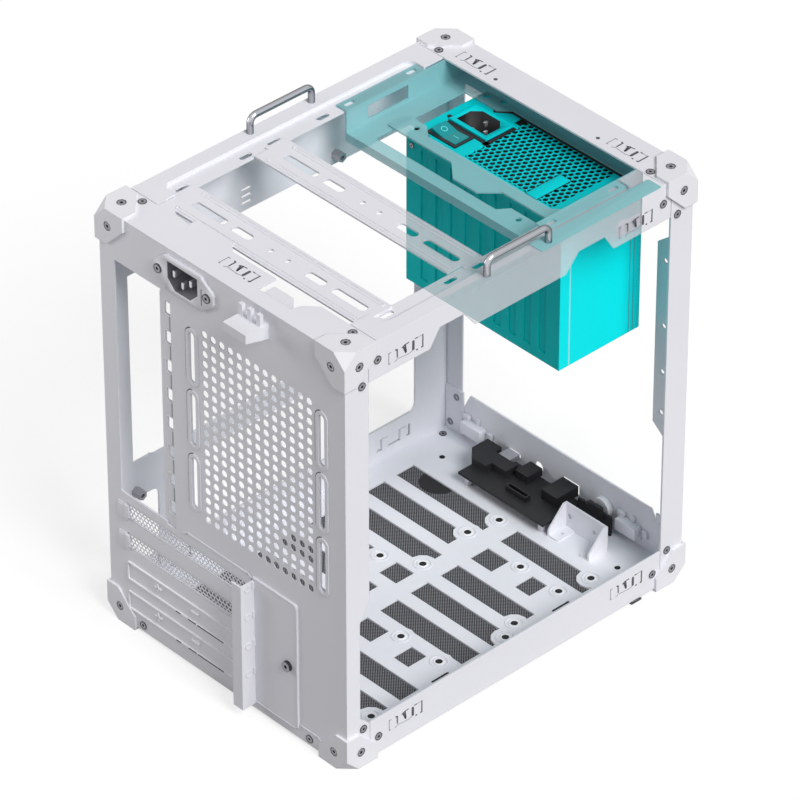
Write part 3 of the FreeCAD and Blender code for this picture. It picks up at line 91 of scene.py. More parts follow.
def add_node(tree, kind, **settings):
    """A node of that kind, with its settings made."""
    node = tree.nodes.new(kind)
    for name, value in settings.items():
        setattr(node, name, value)
    return node


def feed(tree, socket, source):
    """Link a node's output, or set a plain value, on a socket."""
    if isinstance(source, bpy.types.NodeSocket):
        tree.links.new(source, socket)
    else:
        socket.default_value = source


def maths(tree, operation, first, second):
    node = add_node(tree, "ShaderNodeMath", operation=operation)
    feed(tree, node.inputs[0], first)
    feed(tree, node.inputs[1], second)
    return node.outputs[0]


def vector_maths(tree, operation, first, second):
    node = add_node(tree, "ShaderNodeVectorMath", operation=operation)
    feed(tree, node.inputs[0], first)
    feed(tree, node.inputs[1], second)
    return node.outputs["Value"] if operation == "DOT_PRODUCT" else node.outputs[0]


def blend_colours(tree, amount, first, second):
    node = add_node(tree, "ShaderNodeMix", data_type="RGBA")
    feed(tree, node.inputs["Factor"], amount)
    feed(tree, node.inputs[6], first)
    feed(tree, node.inputs[7], second)
    return node.outputs[2]


def scaled_range(tree, value, from_low, from_high, to_low, to_high):
    node = add_node(tree, "ShaderNodeMapRange")
    for socket, number in zip(node.inputs, (value, from_low, from_high, to_low, to_high)):
        feed(tree, socket, number)
    return node.outputs[0]


def object_place(tree):
    return add_node(tree, "ShaderNodeTexCoord").outputs["Object"]


def speckle(tree, place, scale, detail=2.0):
    node = add_node(tree, "ShaderNodeTexNoise")
    feed(tree, node.inputs["Vector"], place)
    feed(tree, node.inputs["Scale"], scale)
    node.inputs["Detail"].default_value = detail
    return node.outputs["Fac"]


def rgb(red, green, blue):
    """A colour as it shows on a screen, 0 to 255, made linear."""
    parts = [c / 255 for c in (red, green, blue)]
    linear = [p / 12.92 if p <= 0.04045 else ((p + 0.055) / 1.055) ** 2.4 for p in parts]
    return (*linear, 1.0)


def new_group(name, inputs, outputs):
    """An empty shader group with its sockets."""
    group = bpy.data.node_groups.new(name, "ShaderNodeTree")
    for socket, (kind, value) in inputs.items():
        made = group.interface.new_socket(socket, in_out="INPUT", socket_type=kind)
        made.default_value = value
    for socket, kind in outputs.items():
        group.interface.new_socket(socket, in_out="OUTPUT", socket_type=kind)
    entry = group.nodes.new("NodeGroupInput")
    leave = group.nodes.new("NodeGroupOutput")
    return group, entry, leave


COLOUR, NUMBER = "NodeSocketColor", "NodeSocketFloat"
WHITE = (1.0, 1.0, 1.0, 1.0)


# Effects that several finishes share

def make_coat_group():
    """Faint cloudy tone, fine grain, and a roughness that varies, for paint, plastic and metal."""
    inputs = {
        "Colour": (COLOUR, WHITE),
        "Shade": (COLOUR, WHITE),
        "Cloud": (NUMBER, 0.5),
        "Roughness": (NUMBER, 0.5),
        "Spread": (NUMBER, 0.1),
        "Grain Scale": (NUMBER, 2500.0),
    }
    outputs = {"Colour": COLOUR, "Roughness": NUMBER, "Height": NUMBER}
    group, entry, leave = new_group("finish_grain", inputs, outputs)
    given = entry.outputs
    place = object_place(group)
    cloud = scaled_range(group, speckle(group, place, 14.0, 3.0), 0.35, 0.65, 0.0, 1.0)
    amount = maths(group, "MULTIPLY", cloud, given["Cloud"])
    tone = blend_colours(group, amount, given["Colour"], given["Shade"])
    feed(group, leave.inputs["Colour"], tone)
    grain = speckle(group, place, given["Grain Scale"], 3.0)
    feed(group, leave.inputs["Height"], grain)
    change = maths(group, "MULTIPLY", maths(group, "SUBTRACT", grain, 0.5), given["Spread"])
    feed(group, leave.inputs["Roughness"], maths(group, "ADD", given["Roughness"], change))
    return group


def make_overlap_group():
    """Where a piece lies in front of the power supply, for someone at the photograph's place."""
    group, entry, leave = new_group("in_front_of_supply", {}, {"Mask": NUMBER})
    place = object_place(group)
    middle = (SUPPLY_LOW + SUPPLY_HIGH) / 2
    left_front = Vector((SUPPLY_LOW.x, SUPPLY_LOW.y, SUPPLY_LOW.z))
    near_front = Vector((SUPPLY_HIGH.x, SUPPLY_LOW.y, SUPPLY_LOW.z))
    right_back = Vector((SUPPLY_HIGH.x, SUPPLY_HIGH.y, SUPPLY_LOW.z))
    upward = Vector((0, 0, 1))
    edges = [
        (left_front, upward),
        (left_front, near_front - left_front),
        (near_front, right_back - near_front),
        (right_back, upward),
    ]
    mask = 1.0
    from_eye = vector_maths(group, "SUBTRACT", place, EYE)
    for start, along in edges:
        normal = along.cross(start - EYE).normalized()
        if normal.dot(middle - EYE) < 0:
            normal = -normal
        side = vector_maths(group, "DOT_PRODUCT", from_eye, normal)
        inside = maths(group, "GREATER_THAN", side, 0.0)
        mask = maths(group, "MULTIPLY", inside, mask)
    feed(group, leave.inputs["Mask"], mask)
    return group


COAT = make_coat_group()
OVERLAP = make_overlap_group()


# Materials

def new_material(name):
    material = bpy.data.materials.new(name)
    material.use_nodes = True
    tree = material.node_tree
    return material, tree, tree.nodes["Principled BSDF"]


def add_bump(tree, height, strength, distance):
    """A bump node that reads this height."""
    bump = add_node(tree, "ShaderNodeBump")
    bump.inputs["Strength"].default_value = strength
    bump.inputs["Distance"].default_value = distance
    feed(tree, bump.inputs["Height"], height)
    return bump


def coated(name, colour, shade, roughness=0.5, edge=0.35, metallic=0.0, specular=0.4,
           coat=0.0, grain=2500.0, depth=0.02):
    """The shared finish: soft edges, fine grain, and a faint change from colour to shade."""
    material, tree, shader = new_material(name)
    finish = add_node(tree, "ShaderNodeGroup", node_tree=COAT)
    values = {
        "Colour": rgb(*colour),
        "Shade": rgb(*shade),
        "Cloud": 0.35,
        "Roughness": roughness,
        "Spread": 0.1,
        "Grain Scale": grain,
    }
    for socket, value in values.items():
        finish.inputs[socket].default_value = value
    feed(tree, shader.inputs["Base Color"], finish.outputs["Colour"])
    feed(tree, shader.inputs["Roughness"], finish.outputs["Roughness"])
    shader.inputs["Metallic"].default_value = metallic
    shader.inputs["Coat Weight"].default_value = coat
    shader.inputs["Specular IOR Level"].default_value = specular
    bump = add_bump(tree, finish.outputs["Height"], depth, 0.0002)
    if edge:
        softened = add_node(tree, "ShaderNodeBevel", samples=4)
        softened.inputs["Radius"].default_value = edge * MM
        feed(tree, bump.inputs["Normal"], softened.outputs["Normal"])
    feed(tree, shader.inputs["Normal"], bump.outputs["Normal"])
    return material


white_paint = coated("white_paint", (238, 238, 244), (230, 230, 238), 0.55)
cap_paint = coated("cap_paint", (240, 240, 245), (232, 232, 240), 0.5, 0.6)
clip_white = coated("clip_white", (236, 236, 242), (224, 224, 232), 0.4, 0.3)
# white_glint is a painted highlight: a whiter paint on ridges, rims, signs and rings, so they read as
# edges catching the light
white_glint = coated("white_glint", (250, 250, 252), (244, 244, 250), 0.4, 0.2)
inlet_grey = coated("inlet_grey", (226, 226, 232), (214, 214, 222), 0.4, 0.6)
# Painted shade for the inside of the mains inlet's recess: a darker copy of its grey
inlet_recess_shade = coated("inlet_recess_shade", (96, 96, 104), (78, 78, 86))

dark_steel = coated("dark_steel", (78, 78, 84), (48, 48, 54), 0.35, 0.15, 0.75)
screw_face = coated("screw_face", (150, 150, 156), (112, 112, 118), 0.3, 0.0, 0.6)
bright_pin = coated("bright_pin", (205, 205, 210), (170, 170, 176), 0.3, 0.2, 0.8)
spacer_grey = coated("spacer_grey", (186, 186, 190), (160, 160, 164), 0.35, 0.3, 0.5)

black_board = coated("black_board", (34, 34, 37), (24, 24, 27), 0.6, 0.2)
black_plastic = coated("black_plastic", (30, 30, 33), (20, 20, 22), 0.5, 0.2)
foot_rubber = coated("foot_rubber", (40, 40, 42), (28, 28, 30), 0.85, grain=900.0, depth=0.2)

bracket_paint = coated("bracket_paint", (160, 220, 225), (148, 208, 214), specular=0.2)
unit_paint = coated("unit_paint", (0, 244, 248), (0, 234, 240), 0.5, 0.5, specular=0.12)
# Painted shade on the supply: its top and its rear-facing side take darker copies of its teal paint
unit_shaded_top = coated("unit_shaded_top", (0, 216, 222), (0, 206, 214), 0.5, 0.5, specular=0.12)
unit_shaded_front = coated("unit_shaded_front", (0, 196, 196), (0, 180, 182), 0.55, 0.5, specular=0.12)
rocker_gloss = coated("rocker_gloss", (0, 158, 162), (0, 128, 134), 0.3, 0.6, specular=0.2, coat=0.15)
sign_teal = coated("sign_teal", (110, 240, 240), (90, 226, 228), 0.4, 0.0)
# A painted highlight along one seam of the supply's side
seam_highlight = coated("seam_highlight", (150, 240, 244), (130, 226, 232), 0.4, 0.0)
seam_grey = coated("seam_grey", (70, 180, 186), (60, 160, 168), 0.5, 0.0)

socket_black = coated("socket_black", (14, 14, 17), (8, 8, 10), 0.6, 0.0)
# Dark gaps, and painted shadow along the supply's inlet and the bracket's opening
gap_and_shadow_dark = coated("gap_and_shadow_dark", (18, 22, 26), (10, 12, 16), 0.7, 0.0)
gap_grey = coated("gap_grey", (84, 84, 92), (64, 64, 72), 0.6, 0.0)
shadow_grey = coated("shadow_grey", (120, 120, 126), (104, 104, 110), 0.6, 0.0)
# Pale slits, and painted shade on the socket strip's steps and along joints
pale_gap_and_shade = coated("pale_gap_and_shade", (168, 168, 176), (150, 150, 158), 0.6, 0.0)


def make_chrome():
    """Polished rod: a painted reflection, light along its middle and dark towards its outline."""
    material, tree, shader = new_material("chrome")
    facing = add_node(tree, "ShaderNodeLayerWeight")
    facing.inputs["Blend"].default_value = 0.35
    # Painted reflection: the base colour runs from light where the rod faces the eye to dark at its
    # outline
    ramp = add_node(tree, "ShaderNodeValToRGB")
    stops = ((0.05, rgb(196, 198, 204)), (0.55, rgb(38, 46, 50)))
    for element, (position, colour) in zip(ramp.color_ramp.elements, stops):
        element.position = position
        element.color = colour
    feed(tree, ramp.inputs[0], facing.outputs["Facing"])
    feed(tree, shader.inputs["Base Color"], ramp.outputs["Color"])
    scuff = speckle(tree, object_place(tree), 700.0)
    feed(tree, shader.inputs["Roughness"], scaled_range(tree, scuff, 0.3, 0.7, 0.1, 0.2))
    shader.inputs["Metallic"].default_value = 1.0
    return material


def make_filter():
    """Woven nylon, its threads at 45 degrees, with a light glint in each diamond."""
    material, tree, shader = new_material("filter_mesh")
    mapping = add_node(tree, "ShaderNodeMapping")
    mapping.inputs["Rotation"].default_value = (0, 0, math.radians(45))
    feed(tree, mapping.inputs["Vector"], object_place(tree))
    split = add_node(tree, "ShaderNodeSeparateXYZ")
    feed(tree, split.inputs[0], mapping.outputs["Vector"])
    thread_pitch = 1.35 * MM
    waves = []
    for axis in ("X", "Y"):
        turns = maths(tree, "MULTIPLY", split.outputs[axis], math.tau / thread_pitch)
        waves.append(maths(tree, "COSINE", turns, 0.0))
    weave = maths(tree, "MULTIPLY", maths(tree, "ADD", waves[0], waves[1]), 0.5)
    glint = scaled_range(tree, weave, 0.0, 0.75, 0.0, 1.0)
    threads = blend_colours(tree, glint, rgb(46, 46, 50), rgb(150, 150, 154))
    feed(tree, shader.inputs["Base Color"], threads)
    shader.inputs["Roughness"].default_value = 0.7
    bump = add_bump(tree, weave, 0.6, 0.0003)
    feed(tree, shader.inputs["Normal"], bump.outputs["Normal"])
    return material


def see_through(material, name, alpha):
    """A copy of a finish that lets what lies behind it show."""
    copy = material.copy()
    copy.name = name
    copy.node_tree.nodes["Principled BSDF"].inputs["Alpha"].default_value = alpha
    return copy


def see_through_over_supply(material, name, alpha):
    """The same, but only where the piece crosses the power supply."""
    copy = see_through(material, name, 1.0)
    tree = copy.node_tree
    overlap = add_node(tree, "ShaderNodeGroup", node_tree=OVERLAP)
    hidden = maths(tree, "MULTIPLY", overlap.outputs["Mask"], 1 - alpha)
    shader = tree.nodes["Principled BSDF"]
    feed(tree, shader.inputs["Alpha"], maths(tree, "SUBTRACT", 1.0, hidden))
    return copy


chrome = make_chrome()
filter_weave = make_filter()
bracket_glazed = see_through(bracket_paint, "bracket_glazed", 0.62)
white_over_supply = see_through_over_supply(white_paint, "white_paint_over_supply", 0.38)

SLOT_MATERIALS = {
    "white_paint": white_paint,
    "cap_white": cap_paint,
    "clip_white": clip_white,
    "inlet_grey": inlet_grey,
    "dark_steel": dark_steel,
    "chrome": chrome,
    "bright_pin": bright_pin,
    "black_board": black_board,
    "black_plastic": black_plastic,
    "bracket_teal": bracket_paint,
    "unit_teal": unit_paint,
    "rocker_teal": rocker_gloss,
    "filter_mesh": filter_weave,
    "foot_rubber": foot_rubber,
}
OWN_MATERIALS = {
    "psu_bracket": bracket_glazed,
    "psu_adapter": bracket_glazed,
    "board_standoffs": spacer_grey,
    "top_rail_right": white_over_supply,
    "fan_rail_2": white_over_supply,
}


def dress_nodes():
    """Give each CAD node the material of its slot, or its own."""
    for part in frame["record"]["subparts"]:
        name = part["node"]
        materials = nodes[name].data.materials
        materials.clear()
        materials.append(OWN_MATERIALS.get(name, SLOT_MATERIALS[part["material_slot"]]))


dress_nodes()


# Modelling helpers: a piece is shaped flat at the origin, then turned and set in its place

FACING = {
    "up": (0, 0, 0),
    "down": (180, 0, 0),
    "rear": (90, 0, 0),
    "right": (90, 0, 90),
    "left": (90, 0, -90),
    "front": (90, 0, 180),
}
SIDES = (1, -1)
SMOOTH_ANGLE = math.radians(35)
BEVEL_ANGLE = math.radians(40)


def side_name(side):
    return "right" if side > 0 else "left"


def take(*pieces):
    """Select these objects and no others, and make the first one active."""
    if bpy.context.object and bpy.context.object.mode != "OBJECT":
        bpy.ops.object.mode_set(mode="OBJECT")
    bpy.ops.object.select_all(action="DESELECT")
    for piece in pieces:
        piece.select_set(True)
    if pieces:
        bpy.context.view_layer.objects.active = pieces[0]


def pick(piece, test):
    """Open a piece with only the faces selected that pass the test."""
    take(piece)
    bpy.ops.object.mode_set(mode="EDIT")
    bpy.ops.mesh.select_mode(type="FACE")
    bpy.ops.mesh.select_all(action="DESELECT")
    bpy.ops.object.mode_set(mode="OBJECT")
    for face in piece.data.polygons:
        face.select = test(face.center, face.normal)
    bpy.ops.object.mode_set(mode="EDIT")


def whole(piece, kind="FACE"):
    """Open a piece with everything selected."""
    take(piece)
    bpy.ops.object.mode_set(mode="EDIT")
    bpy.ops.mesh.select_mode(type=kind)
    bpy.ops.mesh.select_all(action="SELECT")


def leave_edit():
    bpy.ops.object.mode_set(mode="OBJECT")


def settle():
    """Put the active object's place, turn and scale into its mesh."""
    bpy.ops.object.transform_apply(location=True, rotation=True, scale=True)


def draw_out(x, y, z):
    """Extrude what is selected, by millimetres."""
    bpy.ops.mesh.extrude_region_move(TRANSFORM_OT_translate={"value": (x * MM, y * MM, z * MM)})


def shade_plain(piece):
    take(piece)
    bpy.ops.object.shade_flat()


def shade_soft(piece):
    take(piece)
    bpy.ops.object.shade_smooth_by_angle(angle=SMOOTH_ANGLE)


def flat_plate(wide, high, corner=0.0, steps=4):
    """A flat plate round the origin, its corners rounded."""
    take()
    bpy.ops.mesh.primitive_plane_add(size=1)
    plate = bpy.context.object
    plate.scale = (wide * MM, high * MM, 1)
    settle()
    if corner:
        whole(plate, "VERT")
        bpy.ops.mesh.bevel(offset=corner * MM, segments=steps, affect="VERTICES")
        leave_edit()
    return plate


def flat_disc(radius, corners=24):
    take()
    bpy.ops.mesh.primitive_circle_add(vertices=corners, radius=radius * MM, fill_type="NGON")
    return bpy.context.object


def hollow(piece, band):
    """Keep only a band along the outline of a flat piece."""
    whole(piece)
    bpy.ops.mesh.inset(thickness=band * MM, depth=0)
    bpy.ops.mesh.delete(type="FACE")
    leave_edit()


def thicken(piece, height):
    """Raise a flat piece into a closed solid."""
    whole(piece)
    draw_out(0, 0, height)
    bpy.ops.mesh.select_all(action="SELECT")
    bpy.ops.mesh.normals_make_consistent(inside=False)
    leave_edit()


def apply_modifier(piece, kind, **settings):
    take(piece)
    bpy.ops.object.modifier_add(type=kind)
    modifier = piece.modifiers[-1]
    for name, value in settings.items():
        setattr(modifier, name, value)
    bpy.ops.object.modifier_apply(modifier=modifier.name)


def soften(piece, radius, steps=2):
    """Round the edges of a solid piece and shade it smooth between them."""
    apply_modifier(piece, "BEVEL", width=radius * MM, segments=steps, limit_method="ANGLE",
                   angle_limit=BEVEL_ANGLE)
    shade_soft(piece)


def slab(wide, high, corner, thickness, rolled=0.0, steps=4):
    """A plate with rounded corners and, where asked, rolled edges."""
    plate = flat_plate(wide, high, corner, steps)
    thicken(plate, thickness)
    if rolled:
        soften(plate, rolled)
    return plate


def coin(radius, thickness, corners=24):
    """A round plate."""
    plate = flat_disc(radius, corners)
    thicken(plate, thickness)
    return plate


def repeat(piece, count, step):
    """Copies in a row, one step in millimetres apart."""
    apply_modifier(piece, "ARRAY", count=count, use_relative_offset=False,
                   use_constant_offset=True, constant_offset_displace=[part * MM for part in step])


def put(piece, facing, x, y, z, turn=0.0):
    """Turn a piece to face that way, stand it at a place in millimetres, and apply both."""
    take(piece)
    angles = [math.radians(angle) for angle in FACING[facing]]
    turned = Euler(angles).to_matrix().to_4x4() @ Matrix.Rotation(math.radians(turn), 4, "Z")
    piece.matrix_world = Matrix.Translation(Vector((x, y, z)) * MM) @ turned
    settle()
    return piece


def another(piece):
    """A copy with its own mesh."""
    take(piece)
    bpy.ops.object.duplicate()
    return bpy.context.object


def put_copies(piece, places):
    """A copy at each place, and the first shape put away."""
    made = []
    for place in places:
        made.append(put(another(piece), *place))
    bpy.data.objects.remove(piece)
    return made


def joined(pieces):
    take(*pieces)
    if len(pieces) > 1:
        bpy.ops.object.join()
    return pieces[0]


def add_finish(piece, material, test):
    """Give the faces that pass the test a further material."""
    piece.data.materials.append(material)
    pick(piece, test)
    piece.active_material_index = len(piece.data.materials) - 1
    bpy.ops.object.material_slot_assign()
    leave_edit()


def coat_all(piece, material):
    """Give a piece one material all over."""
    piece.data.materials.clear()
    piece.data.materials.append(material)
    return piece


def keep(piece, name, body="root", covers=()):
    """Name a finished piece, and say what it rides on and which nodes it stands for."""
    piece.name = name
    piece.data.name = name
    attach(piece, body)
    if covers:
        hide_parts(*covers)
    return piece


def copy_of_node(node):
    """A merged copy of a CAD node's mesh, to be shaped further."""
    copy = bpy.data.objects.new(node + "_copy", nodes[node].data.copy())
    bpy.context.scene.collection.objects.link(copy)
    whole(copy)
    bpy.ops.mesh.remove_doubles(threshold=0.00001)
    bpy.ops.mesh.normals_make_consistent(inside=False)
    leave_edit()
    return copy


def block_cutter(lowest, highest):
    """A plain block between two corners, in millimetres, to cut or merge with."""
    take()
    middle = [(a + b) / 2 * MM for a, b in zip(lowest, highest)]
    bpy.ops.mesh.primitive_cube_add(size=1, location=middle)
    block = bpy.context.object
    block.scale = [(b - a) * MM for a, b in zip(lowest, highest)]
    settle()
    return block


def carve(piece, cutter, operation="DIFFERENCE"):
    """Cut a shape out of a piece, or merge it in, and put the shape away."""
    apply_modifier(piece, "BOOLEAN", object=cutter, operation=operation, solver="EXACT")
    bpy.data.objects.remove(cutter)


def faces_up(middle, normal):
    return normal.z > 0.9


def rim(wide, high, corner, band, height):
    """A raised rim with rolled edges."""
    ring = flat_plate(wide, high, corner, 8)
    hollow(ring, band)
    thicken(ring, height)
    soften(ring, min(height, band) * 0.45, 3)
    return coat_all(ring, white_paint)


def pressed_line(points, width, height, material):
    """A low ridge along straight runs in a flat drawing, built as one plate per run."""
    runs = []
    for start, end in zip(points, points[1:]):
        run = slab(math.dist(start, end) + width, width, width * 0.49, height, steps=3)
        angle = math.degrees(math.atan2(end[1] - start[1], end[0] - start[0]))
        put(run, "up", (start[0] + end[0]) / 2, (start[1] + end[1]) / 2, 0, angle)
        runs.append(run)
    return coat_all(joined(runs), material)


# Screw heads: a ring, a paler face and a dark socket

HEAD_RADIUS = 2.9
INLET_X, INLET_Z, INLET_FACE = -28.2, 268.9, -133.75


def screw_head(radius, rise):
    """A head that stands up from the origin."""
    lowest_face = 0.2 * MM

    def sunk_face(middle, normal):
        return faces_up(middle, normal) and lowest_face < middle.z < (rise - 0.06) * MM

    def middle_face(middle, normal):
        inner = middle.xy.length < radius * 0.2 * MM
        return faces_up(middle, normal) and inner and middle.z > lowest_face

    def socket_face(middle, normal):
        return middle.xy.length < radius * 0.36 * MM and middle.z > 0.1 * MM

    head = coat_all(coin(radius, rise, 20), dark_steel)
    pick(head, faces_up)
    bpy.ops.mesh.inset(thickness=radius * 0.2 * MM, depth=-0.12 * MM)
    leave_edit()
    add_finish(head, screw_face, sunk_face)
    pick(head, middle_face)
    bpy.ops.mesh.inset(thickness=radius * 0.46 * MM, depth=0)
    bpy.ops.mesh.inset(thickness=0.02 * MM, depth=-rise * 0.55 * MM)
    leave_edit()
    add_finish(head, socket_black, socket_face)
    shade_soft(head)
    return head


def make_cap_screws():
    """A head on each outer face of every corner cap."""
    inset, rise = 10.9, 1.0
    places = []
    for x in SIDES:
        for y in SIDES:
            across, along = x * (CAP_SIDE - inset), y * (CAP_END - inset)
            for facing, end, up in (("down", rise, inset), ("up", CAP_TOP - rise, CAP_TOP - inset)):
                places.append((side_name(x), x * (CAP_SIDE - rise), along, up))
                places.append(("front" if y > 0 else "rear", across, y * (CAP_END - rise), up))
                places.append((facing, across, along, end))
    heads = joined(put_copies(screw_head(HEAD_RADIUS, rise), places))
    keep(heads, "cap_screw_heads", covers=("cap_screws",))


def make_frame_screws():
    """Flat heads on the posts, the rails and the rear panel's lower edge."""
    places = []
    for x in SIDES:
        for y in SIDES:
            for along, up in ((119.5, 260), (119.5, 25), (108, 272), (108, 13.4)):
                places.append((side_name(x), x * SIDE_FACE, y * along, up))
            places.append(("up", x * 85.15, y * 112.25, TOP_FACE))
    for across in (68.9, -72.2):
        places.append(("rear", across, REAR_FACE, 6.25))
    heads = joined(put_copies(screw_head(2.6, 0.5), places))
    keep(heads, "frame_screw_heads", covers=("frame_screws",))


def make_fitting_screws():
    """The two screws of the mains inlet, and the slot clamp's thumbscrew."""
    places = [("rear", INLET_X + side * 20, INLET_FACE, INLET_Z) for side in SIDES]
    heads = joined(put_copies(screw_head(HEAD_RADIUS, 1.0), places))
    keep(heads, "inlet_screw_heads", covers=("rear_inlet_screws",))
    thumb = put(screw_head(3.3, 2.2), "rear", 52.9, CLAMP_FACE, 50.1)
    keep(thumb, "clamp_screw_thumb", covers=("clamp_screw",))


# Carry handles: one rod, straight, bent and straight again

ROD_RADIUS = 2.1
BEND_RADIUS = 4.5
HANDLE_TOP = 294.9
HANDLE_REACH = 23.2


def make_handle(side):
    """A chromed rod drawn up from one leg, over two bends, and down the other."""
    climb = HANDLE_TOP - BEND_RADIUS - TOP_FACE
    crossing = HANDLE_REACH - BEND_RADIUS

    def bend(y):
        bpy.ops.mesh.spin(steps=10, angle=math.radians(90), axis=(1, 0, 0),
                          center=(0, y * MM, (HANDLE_TOP - BEND_RADIUS) * MM))

    take()
    bpy.ops.mesh.primitive_circle_add(vertices=24, radius=ROD_RADIUS * MM, fill_type="NOTHING",
                                      location=(0, -HANDLE_REACH * MM, TOP_FACE * MM))
    rod = bpy.context.object
    settle()
    whole(rod, "EDGE")
    draw_out(0, 0, climb)
    bend(-crossing)
    draw_out(0, 2 * crossing, 0)
    bend(crossing)
    draw_out(0, 0, -climb)
    bpy.ops.mesh.edge_face_add()
    bpy.ops.mesh.select_all(action="SELECT")
    bpy.ops.mesh.region_to_loop()
    bpy.ops.mesh.edge_face_add()
    bpy.ops.mesh.select_all(action="SELECT")
    bpy.ops.mesh.normals_make_consistent(inside=False)
    leave_edit()
    bpy.ops.object.shade_smooth_by_angle(angle=BEVEL_ANGLE)
    put(coat_all(rod, chrome), "up", side * 95.5, 0, 0)
    name = side_name(side)
    keep(rod, "handle_rod_" + name, covers=("handle_" + name,))


# Rear panel: round vent holes, and the strip with eight windows beside the board opening

VENT_LEFT, VENT_RIGHT = -17.5, 75.5
VENT_LOW, VENT_TOP = 110.5, 244.8
WINDOWS = 8
WINDOW_LOW = 105.2
WINDOW_PITCH = 19.55


def drill_pattern(drill, across, up, counts, pitches):
    """Copies of a drill in rows and columns on the rear panel."""
    put(drill, "rear", across, -127.5, up)
    repeat(drill, counts[0], (pitches[0], 0, 0))
    repeat(drill, counts[1], (0, 0, pitches[1]))
    return drill


def make_rear_panel():
    """The panel with a fresh vent field, drilled round, and a window for the strip."""
    panel = copy_of_node("rear_panel")
    carve(panel, block_cutter((VENT_LEFT, -133, VENT_LOW), (VENT_RIGHT, -129, VENT_TOP)))
    field = block_cutter((VENT_LEFT, REAR_FACE, VENT_LOW), (VENT_RIGHT, -131.2, VENT_TOP))
    carve(panel, field, "UNION")
    drill = coin(2.35, 6.0, 14)
    carve(panel, drill_pattern(drill, -13.3, 114.2, (13, 20), (7.04, 6.68)))
    carve(panel, block_cutter((-49, -133, 91.9), (-41.4, -128.9, 253.2)))
    shade_plain(panel)
    coat_all(panel, white_paint)
    keep(panel, "rear_panel_pressed", covers=("rear_panel",))


def make_socket_strip():
    """The long strip with its windows, set behind the panel's face."""
    strip = slab(12.4, 161.5, 3.2, 1.0, steps=6)
    put(strip, "rear", -45.4, -129.35, 172.2)
    window = slab(5.4, 8.6, 0.6, 6.0)
    carve(strip, drill_pattern(window, -44.7, WINDOW_LOW, (1, WINDOWS), (1, WINDOW_PITCH)))
    keep(coat_all(strip, white_paint), "socket_strip")


def make_slot_rims():
    """Pressed rims of the six long slots, with a shadow line along their left ends."""
    rims = []
    for across in (-23.8, 81.3):
        for low_end, high_end in ((117.5, 151.5), (160.8, 195.4), (203.5, 237.2)):
            middle = (low_end + high_end) / 2
            reach = (high_end - low_end) / 2
            ring = rim(9.6, 2 * reach + 5.4, 4.7, 2.4, 0.55)
            rims.append(put(ring, "rear", across, REAR_FACE, middle))
            edge = []
            for angle in (*range(105, 181, 15), 181, *range(195, 256, 15)):
                turn = math.radians(angle)
                end = reach - 2.2 if angle <= 180 else 2.2 - reach
                edge.append((5.1 * math.cos(turn), 5.1 * math.sin(turn) + end))
            line = pressed_line(edge, 0.9, 0.12, shadow_grey)
            rims.append(put(line, "rear", across, REAR_FACE, middle))
    keep(joined(rims), "vent_slot_rims")


# Perforated sheet of hexagons, cut to a rectangle

def make_cell(pitch, wall, x, y, round_hole):
    """The walls round one hole, with its middle at a place in millimetres."""
    take()
    bpy.ops.mesh.primitive_circle_add(vertices=6, radius=pitch / math.sqrt(3) * MM,
                                      fill_type="NGON", location=(x * MM, y * MM, 0))
    cell = bpy.context.object
    settle()
    if round_hole:
        whole(cell, "EDGE")
        bpy.ops.mesh.subdivide(number_cuts=1)
        leave_edit()
    whole(cell)
    bpy.ops.mesh.inset(thickness=wall / 2 * MM, depth=0)
    if round_hole:
        bpy.ops.transform.tosphere(value=1.0)
    bpy.ops.mesh.delete(type="FACE")
    leave_edit()
    return cell


def honeycomb(wide, high, pitch, wall, thickness, round_holes=False):
    """A flat sheet of holes in staggered rows, centred on the origin."""
    row = pitch * math.sqrt(3) / 2
    starts = ((0, 0), (pitch / 2, row))
    sheet = joined([make_cell(pitch, wall, x, y, round_holes) for x, y in starts])
    columns = int(wide / pitch) + 3
    rows = int(high / (2 * row)) + 3
    repeat(sheet, columns, (pitch, 0, 0))
    repeat(sheet, rows, (0, 2 * row, 0))
    put(sheet, "up", -(columns - 0.5) * pitch / 2, -(rows - 0.5) * row, 0)
    whole(sheet)
    bpy.ops.mesh.remove_doubles(threshold=0.00002)
    for x, y in ((1, 0), (-1, 0), (0, 1), (0, -1)):
        edge = (x * wide / 2 * MM, y * high / 2 * MM, 0)
        bpy.ops.mesh.select_all(action="SELECT")
        bpy.ops.mesh.bisect(plane_co=edge, plane_no=(x, y, 0), clear_outer=True)
    leave_edit()
    apply_modifier(sheet, "SOLIDIFY", thickness=thickness * MM, offset=1.0)
    return sheet


# Card slots: two perforated covers, two plain ones with pressed outlines and signs, and the clamp

COVER_MIDDLE = -30.75
COVER_HALF = 6.0
COVER_LOW = (13.4, 34.4, 55.4, 76.4)


def make_mesh_cover(number):
    """A perforated cover with its frame and hooked tab."""
    middle = COVER_LOW[number - 1] + COVER_HALF
    border = flat_plate(105.0, 11.5, 0.8)
    hollow(border, 1.3)
    thicken(border, 1.0)
    put(border, "rear", COVER_MIDDLE, -130.6, middle)
    mesh = put(honeycomb(103.0, 9.6, 3.0, 0.75, 0.3), "rear", COVER_MIDDLE, -131.0, middle)
    tab = put(slab(9.4, 9.5, 1.0, 0.7, 0.3), "rear", -86.3, REAR_FACE, middle)
    hook = slab(3.0, 9.5, 0.4, 1.0)
    pick(hook, faces_up)
    draw_out(0.9, 0, 0.5)
    leave_edit()
    soften(hook, 0.35, 3)
    put(hook, "rear", -83.4, -131.9, middle)
    cover = coat_all(joined([border, mesh, tab, hook]), white_paint)
    keep(cover, f"mesh_cover_{number}", covers=(f"slot_cover_{number}",))


def sign_bar(reach):
    """One bar of a pressed plus or minus sign."""
    bar = pressed_line([(-reach, 0), (reach, 0)], 1.0, 1.2, white_glint)
    soften(bar, 0.42)
    return bar


